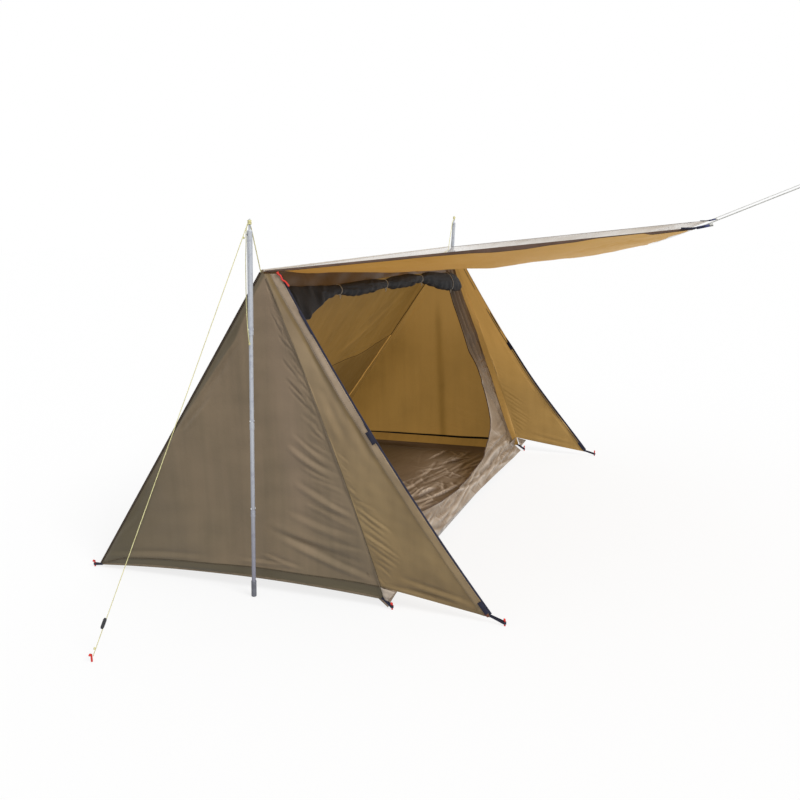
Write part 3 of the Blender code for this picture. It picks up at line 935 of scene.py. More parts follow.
DOOR_SLOPE = math.hypot(DOOR_FOOT, RIDGE_HEIGHT)
DOOR_DOWN = point(0, DOOR_FOOT, -RIDGE_HEIGHT) / DOOR_SLOPE
DOOR_OUT = point(0, DOOR_DOWN[2], -DOOR_DOWN[1])
REAR_OUT = unit(point(0, 1.288, 0.89))
UP = point(0, 0, 1)


def door_point(x: Points, drop: Points, outward: Points | float = 0.0) -> Points:
    """Points of the inner door's plane, or off it by outward, from X and the drop down its slope."""
    base = np.stack([x + 0 * drop, 0 * x * drop, RIDGE_HEIGHT + 0 * x * drop], axis=-1)
    return base + DOOR_DOWN * np.asarray(drop)[..., None] + DOOR_OUT * np.asarray(outward + 0 * x)[..., None]


def pole_point(side: int, height: float) -> Points:
    """Point of a pole's middle line at a height above the ground."""
    foot, top = point(1.26, 0.085, 0.0), point(1.29, -0.010, 1.492)
    return (foot + (top - foot) * (height / top[2])) * point(side, 1, 1)


@dataclass
class EndCloth:
    """Upright cloth at one end of the tent.

    Attributes:
        side: -1 for the left end and 1 for the right one.
    """

    side: int

    def __post_init__(self) -> None:
        """Name the side and lay out the folds."""
        self.word = SIDES[self.side]
        self.out = point(self.side, 0, 0)
        self.folds = self.laid_out()

    def at(self, y: Points, z: Points, outward: float = 0.0) -> Points:
        """Points on the cloth, or off it by outward."""
        return np.stack([self.side * (RIDGE_HALF + self.relief(y, z) + outward), y, z], axis=-1)

    def on(self, path: Points, outward: float) -> Points:
        """A path laid on the cloth, or off it by outward."""
        return self.at(path[:, 1], path[:, 2], outward)


@dataclass
class EndWall(EndCloth):
    """A triangular end wall: its cloth, skirt, seams and the puckers beside them.

    Attributes:
        columns, rows, skirt_rows: The cloth's grid above the skirt, and its rows in the skirt.
        belly: How far the wind pushes the wall in, in the middle.
        softer: The height of the right wall's folds as a share of the left one's.
        creases: The folds' start, end, half width, height and bend, in millimetres.
    """

    columns: int = 151
    rows: int = 171
    skirt_rows: int = 8
    belly: float = 0.008
    softer: float = 0.55
    creases: Rows = (
        (-14, 1262, -45, 1150, 4.5, -1.6), (-20, 1150, -68, 1060, 4.5, -1.8),
        (-50, 1060, -107, 998, 5, -2.2, 3), (-60, 970, -136, 891, 5.5, -2.6, 4),
        (-70, 892, -166, 795, 6, -3.4, -4), (-80, 860, -185, 762, 5.5, -3, 3),
        (-87, 669, -244, 553, 8, 3.4, 4), (-59, 623, -263, 502, 11, 5.6, 6),
        (-175, 711, -248, 645, 6, 3.4, 2), (-115, 546, -275, 479, 7, 3.6, 4),
        (-85, 470, -338, 356, 12, 5.4, 6), (-125, 392, -337, 331, 8, 3.4, 4),
        (-43, 342, -351, 251, 13, 4.4, 6), (51, 273, -382, 172, 14, -5.6, 8),
        (-10, 237, -421, 99, 12, 7.8, 6), (77, 158, -111, 113, 7, 5, 2), (192, 118, -58, 123, 7, 4.2),
        (860, 58, 340, 106, 11, 6, -4), (125, 1045, 345, 775, 11, 6), (270, 810, 415, 655, 10, -5),
        (60, 1210, 190, 1020, 7, -3), (466, 640, 700, 260, 14, -4), (820, 115, 620, 300, 12, 3),
    )

    def laid_out(self) -> list[Fold]:
        """The wall's folds, with the one that only the right wall has."""
        slack = 1.0 if self.side < 0 else self.softer
        folds = folds_from(self.creases, slack, 0.7) + self.puckers(slack)
        return folds + [Fold((0.225, 0.975), (0.460, 0.617), 0.016, -0.006)] * (self.side > 0)

    def puckers(self, slack: float) -> list[Fold]:
        """Short folds that run down into the seam, steep at the top and flat at the foot.

        Args:
            slack: Their height as a share of the left wall's.

        Returns:
            The folds.
        """
        rng = np.random.default_rng(41 + self.side)
        folds = []
        for z in np.linspace(1.18, 0.22, 22):
            share = (1.18 - z) / 0.96
            z = z + rng.uniform(-0.014, 0.014)
            angle = math.radians(-66 + 54 * share**0.8 + rng.uniform(-6, 6))
            length = 0.060 + 0.13 * share * rng.uniform(0.5, 1.1)
            end = (float(seam_y(z)) + 0.006 + 0.006 * share, z)
            start = (end[0] + length * abs(math.cos(angle)), end[1] - length * math.sin(angle))
            width = 0.0040 + 0.004 * share
            height = slack * width * rng.uniform(0.20, 0.40)
            folds.append(Fold(start, end, width, height, rng.uniform(-0.006, 0.006), 0.8))
        return folds

    def rear_gap(self, y: Points, z: Points) -> Points:
        """Level distance from the rear edge."""
        return REAR_FOOT * (RIDGE_HEIGHT - z) / (RIDGE_HEIGHT - REAR_HEM) - y

    def relief(self, y: Points, z: Points) -> Points:
        """How far the cloth stands out of its plane at a place."""
        rear, seam, hem = self.rear_gap(y, z) * 0.82, (y - seam_y(z)) * 0.94, z - hem_height(y)
        free = ease(rear, 0.0, 0.018) * ease(seam, 0.0, 0.010) * ease(hem, 0.0, 0.02)
        waves = ripples(y, z, 0.42, 5 + self.side) * 0.0040 + ripples(y, z, 0.11, 9 + self.side) * 0.0008
        wind = self.belly * ease(rear, 0.0, 0.25) * ease(seam, 0.0, 0.25) * ease(hem, 0.0, 0.3)
        beside = hump(seam, 0.022, 0.020) * ease(z, 0.45, 0.75) * ease(-z, -1.22, -1.12)
        fine = (crumples(y * 1.2 + z * 0.5, z * 0.7 - y * 0.4, 0.022, 43) - 0.3) * 0.0050 * beside
        return (waves - wind + fine + raised(self.folds, y, z)) * free

    def skirt_top(self, y: Points) -> Points:
        """Height of the seam above the skirt."""
        lean = 0.011 * (REAR_FOOT - y) / (REAR_FOOT - SEAM_Y)
        return hem_height(y) + 0.010 + 0.028 * ease(REAR_FOOT - y, 0.0, 0.16) + lean

    def grid(self) -> Points:
        """The cloth's flat grid, skirt and all."""
        corner, foot = point(0, 0.8925, 0.0145), point(0, -0.458, 0.035)
        seam = seam_line(self.rows)
        y = np.linspace(0.886, seam[-1, 1], self.columns)
        joint = np.stack([0 * y, y, self.skirt_top(y)], axis=-1)
        joint[-1] = seam[-1]
        top = line(point(0, 0.004, 1.3045), seam[0], self.columns)
        upper = coons(top, joint, line(top[0], joint[0], self.rows), seam)
        y = np.linspace(corner[1], foot[1], self.columns)
        hem = np.stack([0 * y, y, hem_height(y)], axis=-1)
        hem[0], hem[-1] = corner, foot
        steps = np.linspace(0, 1, self.skirt_rows + 1)[1:, None, None]
        return np.concatenate([upper, joint[None] * (1 - steps) + hem[None] * steps])

    def shades(self, y: Points, z: Points) -> Points:
        """The outside's tint: dark skirt, painted olive shade along the rear edge, beyond the guy line's bend
        and in the low rear corner, slightly darker low down, warm towards the wing.
        """
        skirt = np.zeros(y.shape)
        skirt[self.rows :] = 1.0
        # Painted shade in a band along the rear edge, widest part way up.
        wide = np.interp(z, (0.66, 0.79, 1.03, 1.20), (0.006, 0.020, 0.050, 0.024))
        band = 1 - ease(self.rear_gap(y, z), wide - 0.008, wide + 0.004)
        # Painted shade beyond the line where the wall bends by the guy line.
        behind = ease(y - (0.401 + (0.733 - z) * 0.491), -0.008, 0.016) * ease(-z, -0.76, -0.70)
        # Painted shade towards the low rear corner.
        low = 1.25 * ease(y, 0.05, 0.75) * ease(-z, -0.85, -0.12)
        warm = hump(y + (1.2 - z) * 0.10, -0.03, 0.075) * ease(z, 0.1, 0.5)
        shade = np.maximum(0.80 * band, 0.42 * behind + 0.45 * low) + 0.10 * ease(-z, -0.9, -0.2)
        return (0.30 * warm - shade) * (1 - skirt) - skirt

    def inside_light(self, y: Points, z: Points) -> Points:
        """The inside's tint for its golden painted glow: painted light higher up and on the far wall, painted
        shade towards the rear edge, a painted shadow of the pole, and the glow dimmed at the hem.
        """
        # Painted shadow of the pole outside, as if falling through the cloth.
        shadow = hump(y - (z - 0.1) * 0.030, 0.052, 0.024) * ease(-z, -1.0, -0.8)
        # Painted light higher up, painted shade towards the rear edge.
        light = 0.35 * ease(z, 0.65, 1.15) - 0.25 * ease(-self.rear_gap(y, z), -0.35, 0.0)
        # The far wall's inside painted lighter.
        if self.side > 0:
            light = light + 0.30 + 0.25 * ease(z, 0.55, 0.9)
        return light - 0.34 * shadow - 0.6 * (1 - ease(z, 0.055, 0.075))

    def build(self) -> None:
        """Make the wall's pieces."""
        grid = self.grid()
        y, z = grid[..., 1], grid[..., 2]
        cloth = Cloth(self.at(y, z), (y, z), self.shades(y, z), self.inside_light(y, z))
        made = cloth.piece(f"{self.word}_end_wall_cloth", Look.WALL, Look.WALL_INSIDE_GLOW, self.out)
        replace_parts(made, f"{self.word}_end_wall")
        self.seams()

    def seams(self) -> None:
        """The felled seams along the rear edge, the wing and the skirt, with their stitching, and a thin dark
        line of painted shadow beside the seam to the wing.
        """
        rear = line(point(0, 0.008, 1.2935), point(0, 0.886, 0.020), 60)
        seam = seam_line(60)[1:]
        y = np.linspace(0.872, -0.438, 60)
        skirt = np.stack([0 * y, y, self.skirt_top(y)], axis=-1)
        hem = np.stack([0 * y, y, hem_height(y) + 0.005], axis=-1)
        tapes, edges, threads, bound = Skin(), Skin(), Skin(), Skin()
        strips = ((rear, 0.010, bound), (seam, 0.006, tapes), (skirt, 0.006, edges), (hem, 0.009, tapes))
        for path, width, skin in strips:
            lifted = self.on(path, 0.0012)
            skin.band(lifted, self.out, width, 0.0012)
            sideways = unit(np.cross(unit(np.gradient(lifted, axis=0)), self.out)) * (width * 0.34)
            for row in (-1, 1):
                threads.stitches(lifted + sideways * row + self.out * 0.0007, self.out)
        # Painted shadow: a thin dark cord in the seam's groove.
        seam_shadow = self.at(seam[:, 1] - 0.0030, seam[:, 2], 0.0010)
        edges.tube(seam_shadow, np.interp(seam[:, 2], (0.1, 0.5, 0.7, 1.3), (0.0014, 0.0012, 0.0006, 0.0005)), 6)
        tapes.piece(f"{self.word}_wall_seams", Look.WALL_TAPE)
        edges.piece(f"{self.word}_wall_edges", Look.SEAM)
        bound.piece(f"{self.word}_wall_rear_edge", Look.BINDING)
        threads.piece(f"{self.word}_wall_stitching", Look.THREAD)
        y = np.linspace(0.835, -0.395, 60)
        tape = self.at(y, 0.0605 + 0.010 * (0.572 - y), -0.0052)
        Skin().band(tape, -self.out, 0.013, 0.0016).piece(f"{self.word}_floor_seam", Look.MESH)


@dataclass
class Wing(EndCloth):
    """A wing in front of an end wall: its cloth, facing, bound edge, tabs and tip.

    Attributes:
        columns, rows: The cloth's grid.
        facing: Width of the doubled strip along the front edge.
        slack: How far the right wing's slacker edge draws back.
        softer: The height of the right wing's folds as a share of the left one's.
        creases: The folds' start, end, half width and height, in millimetres.
        INWARD: The direction from the front edge into the cloth.
        BOUND: The folded tape's cross-section, into the cloth and along the ridge.
    """

    columns: int = 101
    rows: int = 161
    facing: float = 0.034
    slack: float = 0.028
    softer: float = 0.5
    creases: Rows = (
        (-317, 471, -372, 450, 4, 2), (-340, 429, -438, 390, 4.5, 2), (-336, 407, -498, 305, 5, 3.6),
        (-347, 373, -469, 297, 4.5, 3), (-362, 338, -488, 262, 4.5, 2.6), (-374, 297, -529, 207, 5.5, 4.4),
        (-385, 278, -531, 189, 4.5, 3.4), (-401, 240, -515, 172, 4.5, 3), (-414, 202, -500, 160, 4, 3),
        (-428, 180, -491, 127, 4, 2.6), (-422, 130, -466, 91, 4, 2.4), (-440, 89, -780, 44, 7, 6),
        (-520, 120, -819, 55, 9, 5), (-335, 760, -430, 575, 18, -4), (-140, 1095, -325, 735, 14, -4),
        (-200, 860, -300, 640, 16, 3),
    )

    INWARD = point(0, 0.84, -0.54)
    BOUND = (
        (0.008, 0.0020), (0.0, 0.0030), (-0.0020, 0.0018), (-0.0020, -0.0018), (0.0, -0.0030),
        (0.008, -0.0020),
    )

    def laid_out(self) -> list[Fold]:
        """The wing's folds, with the short ones that run off its seam."""
        rng = np.random.default_rng(77 + self.side)
        strength = 1.0 if self.side < 0 else self.softer
        folds = folds_from(self.creases, strength, 0.8)
        for z in np.linspace(0.60, 0.13, 18):
            z = z + rng.uniform(-0.012, 0.012)
            y = float(seam_y(z)) - 0.006
            reach = rng.uniform(0.025, 0.06)
            width = rng.uniform(0.003, 0.0045)
            end = (y - reach, z - reach * rng.uniform(0.45, 0.70))
            folds.append(Fold((y, z), end, width, width * 0.40 * strength, 0.0, 0.8))
        return folds

    def edge(self, count: int) -> Points:
        """The bound front edge, from top to tip, slacker on the right wing."""
        path = bowed(point(0, -0.074, 1.290), point(0, -0.884, 0.037), 0.028, self.INWARD, count)
        if self.side > 0:
            path[:, 1] += self.slack * ease(path[:, 2], 0.04, 0.55) * ease(1.29 - path[:, 2], 0.0, 0.14)
        return path

    def relief(self, y: Points, z: Points) -> Points:
        """How far the cloth stands out of its plane at a place."""
        seam, edge = (seam_y(z) - y) * 0.94, self.edge_distance(y, z)
        hem = z - np.interp(y, (-0.879, SEAM_Y), (0.022, SEAM_Z))
        free = ease(seam, 0.0, 0.008) * ease(edge, 0.0, 0.012) * ease(hem, 0.0, 0.010)
        free = free * ease(-z, -1.29, -1.25)
        waves = ripples(y, z, 0.30, 25 + self.side) * 0.0034 + ripples(y, z, 0.08, 29 + self.side) * 0.0006
        doubled = 0.0018 * (1 - ease(edge, self.facing - 0.004, self.facing + 0.003)) * ease(edge, 0.0, 0.004)
        return (waves + raised(self.folds, y, z)) * free + doubled

    def edge_distance(self, y: Points, z: Points) -> Points:
        """Distance from the bound front edge."""
        edge = self.edge(60)[::-1]
        return (y - np.interp(z, edge[:, 2], edge[:, 1])) * 0.84

    def build(self) -> None:
        """Make the wing's pieces."""
        seam, edge = seam_line(self.rows), self.edge(self.rows)
        seam[:, 1] -= GAP
        top = line(seam[0], edge[0], self.columns)
        hem = line(seam[-1], point(0, -0.880, 0.023), self.columns)
        edge[-1] = hem[-1]
        grid = coons(top, hem, seam, edge)
        y, z = grid[..., 1], grid[..., 2]
        near = self.edge_distance(y, z)
        strip = 1 - ease(near, self.facing - 0.003, self.facing + 0.003)
        # Painted shadow along the inner edge of the raised facing, stronger higher up.
        shadow = hump(near, self.facing + 0.007, 0.007) * (1 - strip)
        # Uneven lightness along the facing.
        patchy = 0.88 + 0.10 * ripples(y, z, 0.022, 33)
        shaded = (0.15 + 0.40 * ease(z, 0.3, 0.6)) * shadow
        outside = (0.20 + 0.70 * ease(z, 0.35, 0.95)) * strip * patchy - shaded
        outside = outside + (1 - strip) * (0.30 * ease(z, 0.25, 1.1) - 0.35 * ease(-z, -0.35, 0.0))
        # Inside: painted glow, brighter higher up and dimmed along the bound edge.
        inside = 0.85 * ease(z, 0.30, 0.75) - 0.4 * (1 - ease(near, 0.004, 0.012))
        cloth = Cloth(self.at(y, z), (y, z), outside, inside)
        made = cloth.piece(f"{self.word}_wing_cloth", Look.WING, Look.WING_INSIDE_GLOW, self.out)
        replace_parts(made, f"{self.word}_wing")
        self.binding()
        self.stitching()
        self.tabs()
        self.gusset()

    def binding(self) -> None:
        """The dark tape folded round the front edge, and the zip's half on its inside."""
        path = self.edge(80) - self.INWARD * 0.0015
        if self.side > 0:
            curled = ease(path[:, 2], 0.66, 0.76) * ease(-path[:, 2], -1.27, -1.22)
            path = path + point(0.0045, 0.0042, -0.0027) * curled[:, None]
        path[:, 0] += self.side * RIDGE_HALF
        rings = [path + self.INWARD * a + point(b, 0, 0) for a, b in self.BOUND]
        made = Skin().loft(np.stack(rings, axis=1)).piece(f"{self.word}_wing_tape", Look.WEBBING)
        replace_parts(made, f"{self.word}_wing_binding")
        teeth = path + self.INWARD * 0.014 - self.out * 0.0035
        Skin().tube(teeth[3:-3], 0.0020, 6).piece(f"{self.word}_wing_zip", Look.BLACK)

    def stitching(self) -> None:
        """Stitch rows along the facing and the hem."""
        rows = Skin()
        for inset in (0.006, self.facing - 0.005):
            rows.stitches(self.on(self.edge(80)[2:-2] + self.INWARD * inset, 0.0022), self.out)
        hem = line(point(0, -0.450, 0.092), point(0, -0.868, 0.031), 40)
        for lift in (0.0, 0.008):
            rows.stitches(self.on(hem + UP * lift, 0.0012), self.out)
        rows.piece(f"{self.word}_wing_stitching", Look.THREAD)

    def tabs(self) -> None:
        """The two dark tabs on the bound edge, and the brown patch at the tip."""
        edge = self.edge(200)
        tabs = Skin()
        for low, high in ((0.664, 0.712), (0.042, 0.088)):
            face = self.on(edge[(edge[:, 2] > low) & (edge[:, 2] < high)] + self.INWARD * 0.0085, 0.0042)
            tabs.band(face, self.out, 0.019, 0.0020)
            tabs.band(face - self.out * 0.0100, self.out, 0.019, 0.0020)
        tabs.piece(f"{self.word}_wing_tabs", Look.WEBBING)
        patch = line(point(0, -0.8605, 0.0415), point(0, -0.8760, 0.0275), 6)
        strip = Skin().band(self.on(patch, 0.0032), self.out, 0.012, 0.0014)
        strip.piece(f"{self.word}_wing_patch", Look.PATCH)

    def gusset(self) -> None:
        """The small pale triangle of cloth under the foot of the wing's seam."""
        count = 14
        top = line(point(0, -0.446, 0.083), point(0, -0.505, 0.072), count)
        foot = line(point(0, -0.462, 0.037), point(0, -0.474, 0.031), count)
        steps = np.linspace(0, 1, count)[:, None, None]
        grid = top[None] * (1 - steps) + foot[None] * steps
        y, z = grid[..., 1], grid[..., 2]
        bulge = 0.0030 + 0.0035 * np.sin(steps[..., 0] * 3.1) + 0.0016 * ripples(y, z, 0.03, 35)
        cloth = Cloth(np.stack([self.side * (RIDGE_HALF + bulge), y, z], axis=-1), (y, z), 0 * y + 0.6)
        cloth.piece(f"{self.word}_wing_gusset", Look.DOOR, Look.DOOR, self.out)


@dataclass
class RearPanel:
    """The sloping rear panel, sewn from two widths of cloth.

    Attributes:
        columns, rows: The cloth's grid.
        seam_height: Height of the level seam outside.
        creases: For each trough, the folds' start and end as x and height, half width, height and
            bend, in millimetres.
    """

    columns: int = 201
    rows: int = 121
    seam_height: float = 0.72
    creases: tuple[tuple[float, Rows], ...] = (
        (0.4, ((980, 1010, 420, 760, 20, 5, 10),)),
        (0.5, ((-900, 1000, -450, 780, 24, -6, -10), (-860, 900, -200, 700, 20, -5, -10),
               (1150, 120, 700, 300, 20, -5), (-1150, 120, -700, 330, 20, -6))),
        (0.6, ((860, 1085, 180, 735, 26, -9), (-1000, 60, 950, 70, 12, 5, 10),
               (-1180, 1240, -700, 1050, 14, 4), (1180, 1240, 700, 1150, 14, 4))),
        (0.8, ((1120, 755, 230, 690, 12, 7, -6),)),
    )

    def __post_init__(self) -> None:
        """Lay out the folds."""
        self.folds = [fold for trough, rows in self.creases for fold in folds_from(rows, 1.0, trough)]

    def relief(self, x: Points, z: Points) -> Points:
        """How far the cloth stands off its slope at a place."""
        side = RIDGE_HALF - np.abs(x)
        free = ease(side, 0.0, 0.03) * ease(z, 0.012, 0.05) * ease(-z, -1.295, -1.25)
        waves = ripples(x, z, 0.45, 51) * 0.005 + ripples(x, z, 0.12, 52) * 0.0010
        wind = 0.012 * ease(side, 0.0, 0.35) * ease(z, 0.0, 0.5) * ease(-z, -1.3, -0.8)
        return (waves - wind + raised(self.folds, x, z)) * free

    def at(self, x: Points, z: Points, outward: Points | float = 0.0) -> Points:
        """Points on the cloth, or off it by outward."""
        return rear_point(x, z, self.relief(x, z) + outward)

    def piping_x(self, z: Points) -> Points:
        """Where the piped edge inside lies, for a height."""
        return np.interp(z, (0.02, 0.348, 0.748, 1.29), (0.985, 1.044, 1.114, 1.190))

    def crease_z(self, x: Points) -> Points:
        """Height of the crease inside, from the piped edge to the middle."""
        t = np.clip((x - 0.20) / 0.914, 0, 1)
        return 0.684 + 0.064 * t - 0.016 * np.sin(math.pi * t)

    def build(self) -> None:
        """Make the panel and its seams."""
        across = np.linspace(-BETWEEN_WALLS, BETWEEN_WALLS, self.columns)
        x = np.broadcast_to(across, (self.rows, self.columns))
        z = np.broadcast_to(np.linspace(1.294, REAR_HEM, self.rows)[:, None], x.shape)
        outside = -0.15 * ease(-z, -self.seam_height, -self.seam_height + 0.005)
        outside = outside - 0.35 * (1 - ease(RIDGE_HALF - np.abs(x), 0.0, 0.05))
        outside = outside - 0.6 * ease(-z, -0.055, -0.045)
        past = ease(x - self.piping_x(z), 0.0, 0.010)
        # Painted shade under the crease inside.
        below = ease(self.crease_z(x) - z, 0.0, 0.012) * ease(x, 0.10, 0.55) * (1 - past)
        # Painted highlight along a light fold.
        ridge = hump(z - (x - 0.212) * 0.492, 0.755, 0.020) * ease(x, 0.15, 0.3) * ease(-x, -0.9, -0.7)
        # Inside: the painted glow, with painted shade under the crease, near the ridge and low down, and the
        # painted highlight.
        inside = -0.62 * below * ease(z, 0.05, 0.35) + 0.30 * ridge
        inside = inside - 0.10 * ease(z, 1.0, 1.25) - 0.12 - 0.30 * ease(-z, -0.8, -0.2)
        cloth = Cloth(self.at(x, z), (x, (RIDGE_HEIGHT - z) * 1.215), outside, inside)
        made = cloth.piece("rear_panel_cloth", Look.WALL, Look.WALL_INSIDE_GLOW, REAR_OUT)
        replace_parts(made, "rear_panel")
        self.outer_seams()
        self.inner_seams()

    def outer_seams(self) -> None:
        """The level seams outside, with their stitching."""
        tapes, threads = Skin(), Skin()
        wide = np.linspace(0.006 - BETWEEN_WALLS, BETWEEN_WALLS - 0.006, 90)
        for height in (0.020, 0.052, self.seam_height):
            path = self.at(wide, 0 * wide + height, 0.0014)
            tapes.band(path, REAR_OUT, 0.010, 0.0010)
            for row in (-1, 1):
                threads.stitches(path + point(0, -0.57, 0.82) * (0.0034 * row) + REAR_OUT * 0.0007, REAR_OUT)
        tapes.piece("rear_seams", Look.WALL_TAPE)
        threads.piece("rear_stitching", Look.THREAD)

    def inner_seams(self) -> None:
        """The piped edge beside the end wall with a dark strip of painted shadow beside it, the thin seam
        above it and the crease, all inside.
        """
        light, dark = Skin(), Skin()
        low, high = np.linspace(0.748, 0.030, 60), np.linspace(1.285, 0.748, 50)
        for side in SIDES:
            x = self.piping_x(low)
            light.band(self.at(side * (x - 0.008), low, -0.0050), -REAR_OUT, 0.016, 0.0030)
            # Painted shadow: a dark strip beside the piping.
            dark.band(self.at(side * (x + 0.005), low, -0.0035), -REAR_OUT, 0.012, 0.0020)
            dark.band(self.at(side * self.piping_x(high), high, -0.0030), -REAR_OUT, 0.008, 0.0020)
        x = np.linspace(0.20, 1.112, 60)
        dark.tube(self.at(x, self.crease_z(x), -0.0014), 0.0013, 6)
        light.piece("rear_piping", Look.GOLD_TAPE)
        dark.piece("rear_seams_and_painted_shadow", Look.BINDING)


@dataclass
class Ridge:
    """The cloth sleeve along the ridge, with the cord inside it."""

    radius: float = 0.0062

    def build(self) -> None:
        """Make the sleeve and its seam."""
        x = np.linspace(-BETWEEN_WALLS, BETWEEN_WALLS, 160)
        path = np.stack([x, 0 * x, 0 * x + RIDGE_HEIGHT], axis=-1)
        puckered = self.radius * (1 + 0.05 * ripples(x, 0 * x, 0.05, 61))
        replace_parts(Skin().tube(path, puckered, 12).piece("ridge_sleeve", Look.AWNING), "ridge_cord")
        seam = rear_point(x, 0 * x + 1.282, 0.0016)
        Skin().band(seam, REAR_OUT, 0.012, 0.0012).piece("ridge_seam", Look.SEAM)


@dataclass
class Awning:
    """The door panel raised as an awning, with its edge flaps, corners and lines.

    Attributes:
        corner: The right front corner. The left one mirrors it.
        root_half, reach: Half its width at the ridge, and its length along the cloth.
        ridge_sag, front_sag, belly, scoop, power: The shape of its slack middle.
        columns, rows: The cloth's grid.
        fans: Direction in degrees, length and height of the folds that leave a front corner.
        flap_heights: The zip flap along each side edge: places from ridge to front, and its height
            there, in thousandths.
        buckle: The tensioner's width at even steps along it.
    """

    corner: tuple[float, float, float] = (1.233, -1.547, 1.434)
    root_half: float = 1.205
    reach: float = 1.55
    ridge_sag: float = 0.032
    front_sag: float = 0.068
    belly: float = 0.036
    scoop: float = 0.187
    power: float = 5.5
    columns: int = 161
    rows: int = 111
    fans: Rows = ((62, 0.55, 0.006), (48, 0.42, 0.005), (30, 0.5, 0.005), (74, 0.4, 0.004))
    flap_heights: Rows = (
        (0, 6), (100, 8.5), (450, 9), (530, 11), (580, 15.5), (650, 15), (700, 10), (755, 8.5), (800, 3),
        (895, 2), (910, 9), (955, 7), (1000, 5),
    )
    buckle: tuple[float, ...] = (0.008, 0.015, 0.018, 0.018, 0.016, 0.018, 0.016, 0.012, 0.006)

    def at(self, u: Points, v: Points) -> Points:
        """Points of the sheet: u from -1 to 1 across it, v from 0 at the ridge to 1 at the front."""
        far_x, far_y, far_z = self.corner
        root = -0.006 - GAP
        loose = 1 - np.abs(u) ** self.power
        half = self.root_half + (far_x - self.root_half) * v
        sag = (self.ridge_sag * (1 - v) + self.front_sag * v) * np.minimum(1.0, v / 0.05)
        y = root + (far_y - root) * v + loose * self.scoop * v * v
        z = RIDGE_HEIGHT + (far_z - RIDGE_HEIGHT) * v - loose * (sag + self.belly * 4 * v * (1 - v))
        free = ease(1 - np.abs(u), 0.0, 0.03) * ease(v, 0.0, 0.06) * ease(1 - v, 0.0, 0.02)
        return np.stack([u * half, y, z + self.relief(u * half, v * self.reach) * free], axis=-1)

    def relief(self, x: Points, run: Points) -> Points:
        """Folds that fan out of the corners, short ones along the sides, and soft waves between."""
        folds = []
        for side in SIDES:
            for angle, length, depth in self.fans:
                turn = math.radians(angle)
                end = (side * (1.19 - length * math.cos(turn)), 1.52 - length * math.sin(turn))
                folds.append(Fold((side * 1.19, 1.52), end, 0.012, depth, 0.0, 0.7))
            for k in range(9):
                start = (side * 1.19, 0.10 + 0.16 * k)
                end = (side * (1.05 - 0.02 * (k % 3)), start[1] + 0.05)
                folds.append(Fold(start, end, 0.012, 0.003, 0.0, 0.7))
        waves = ripples(x, run, 0.5, 71) * 0.004 + ripples(x, run, 0.13, 72) * 0.0008
        return waves + raised(folds, x, run)

    def build(self) -> None:
        """Make the awning's pieces."""
        u = np.broadcast_to(np.linspace(-1, 1, self.columns), (self.rows, self.columns))
        v = np.broadcast_to(np.linspace(0, 1, self.rows)[:, None], u.shape)
        points = self.at(u, v)
        edge = np.minimum(1 - np.abs(u), (1 - v) * 1.2)
        above = 0.30 * ripples(u, v, 0.8, 73) - 0.5 * (1 - ease(edge, 0.010, 0.016))
        # Underside: painted light, darker near the ridge and lighter towards the front.
        below = np.interp(v, (0.0, 0.12, 0.35, 0.65, 1.0), (-0.5, -0.35, -0.05, 0.40, 0.80))
        below = below + 0.10 * ripples(u, v, 0.5, 74)
        cloth = Cloth(points, (points[..., 0], v * self.reach), np.minimum(above, 0.5), below)
        made = cloth.piece("awning_cloth", Look.AWNING, Look.AWNING_UNDERSIDE_GLOW, UP)
        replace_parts(made, "awning")
        self.edges()
        for side, word in SIDES.items():
            self.tensioner(side, word)

    def edges(self) -> None:
        """The zip flaps along the sides, darkened as painted shade, the front hem, and their stitching."""
        flaps, threads, zips = Skin(), Skin(), Skin()
        v = np.linspace(0.006, 0.994, 160)
        width = np.interp(v, *metres(self.flap_heights).T)
        for side in SIDES:
            edge = self.at(side + 0 * v, v)
            lean = np.stack([side * (0.15 + 0.2 * ripples(v * 3, 0 * v, 0.5, 75)), 0 * v, 0 * v - 1], axis=-1)
            face = unit(np.cross(unit(np.gradient(edge, axis=0)), lean)) * -side
            flaps.band(edge + unit(lean) * (width[:, None] / 2 - 0.0015), face, width, 0.0018)
            zips.tube(edge + unit(lean) * (width[:, None] - 0.0015), 0.0009, 6)
            threads.stitches(edge + point(-side * 0.010, 0, 0.0012), UP)
        u = np.linspace(-0.985, 0.985, 140)
        front = self.at(u, 1 + 0 * u)
        Skin().band(front + point(0, 0.007, 0.0), UP, 0.016, 0.0040).piece("awning_hem", Look.AWNING)
        threads.stitches(front + point(0, 0.012, 0.0026), UP)
        flaps.piece("awning_flaps", Look.FLAP)
        threads.piece("awning_stitching", Look.THREAD)
        zips.piece("awning_zips", Look.BINDING)

    def tensioner(self, side: int, word: str) -> None:
        """The webbing at a front corner, its buckle and the knot behind it."""
        corner, across = point(side, 1, 1) * self.corner, point(side, 0, 0)
        pull = unit(point(0, -1.0, 0.20))
        up = unit(np.cross(across, pull)) * side
        back = point(0, 0.9963, -0.0866)
        path = np.stack([
            corner + back * 0.050 - up * 0.003, corner + back * 0.02, corner, corner + pull * 0.020,
        ])
        Skin().band(path, up, 0.018, 0.0060).piece(f"awning_tab_{word}", Look.WEBBING)
        body = corner + pull * np.linspace(-0.004, 0.034, len(self.buckle))[:, None]
        Skin().band(body, up, self.buckle, 0.0085).piece(f"awning_tensioner_{word}", Look.BLUE)
        knot = Skin().coil(corner + pull * 0.039, pull, across, up, 0.0034, (0.0035, 0.0017, 12))
        knot.piece(f"awning_knot_{word}", Look.PALE_CORD)
        Look.PALE_CORD.dress(f"awning_line_{word}")


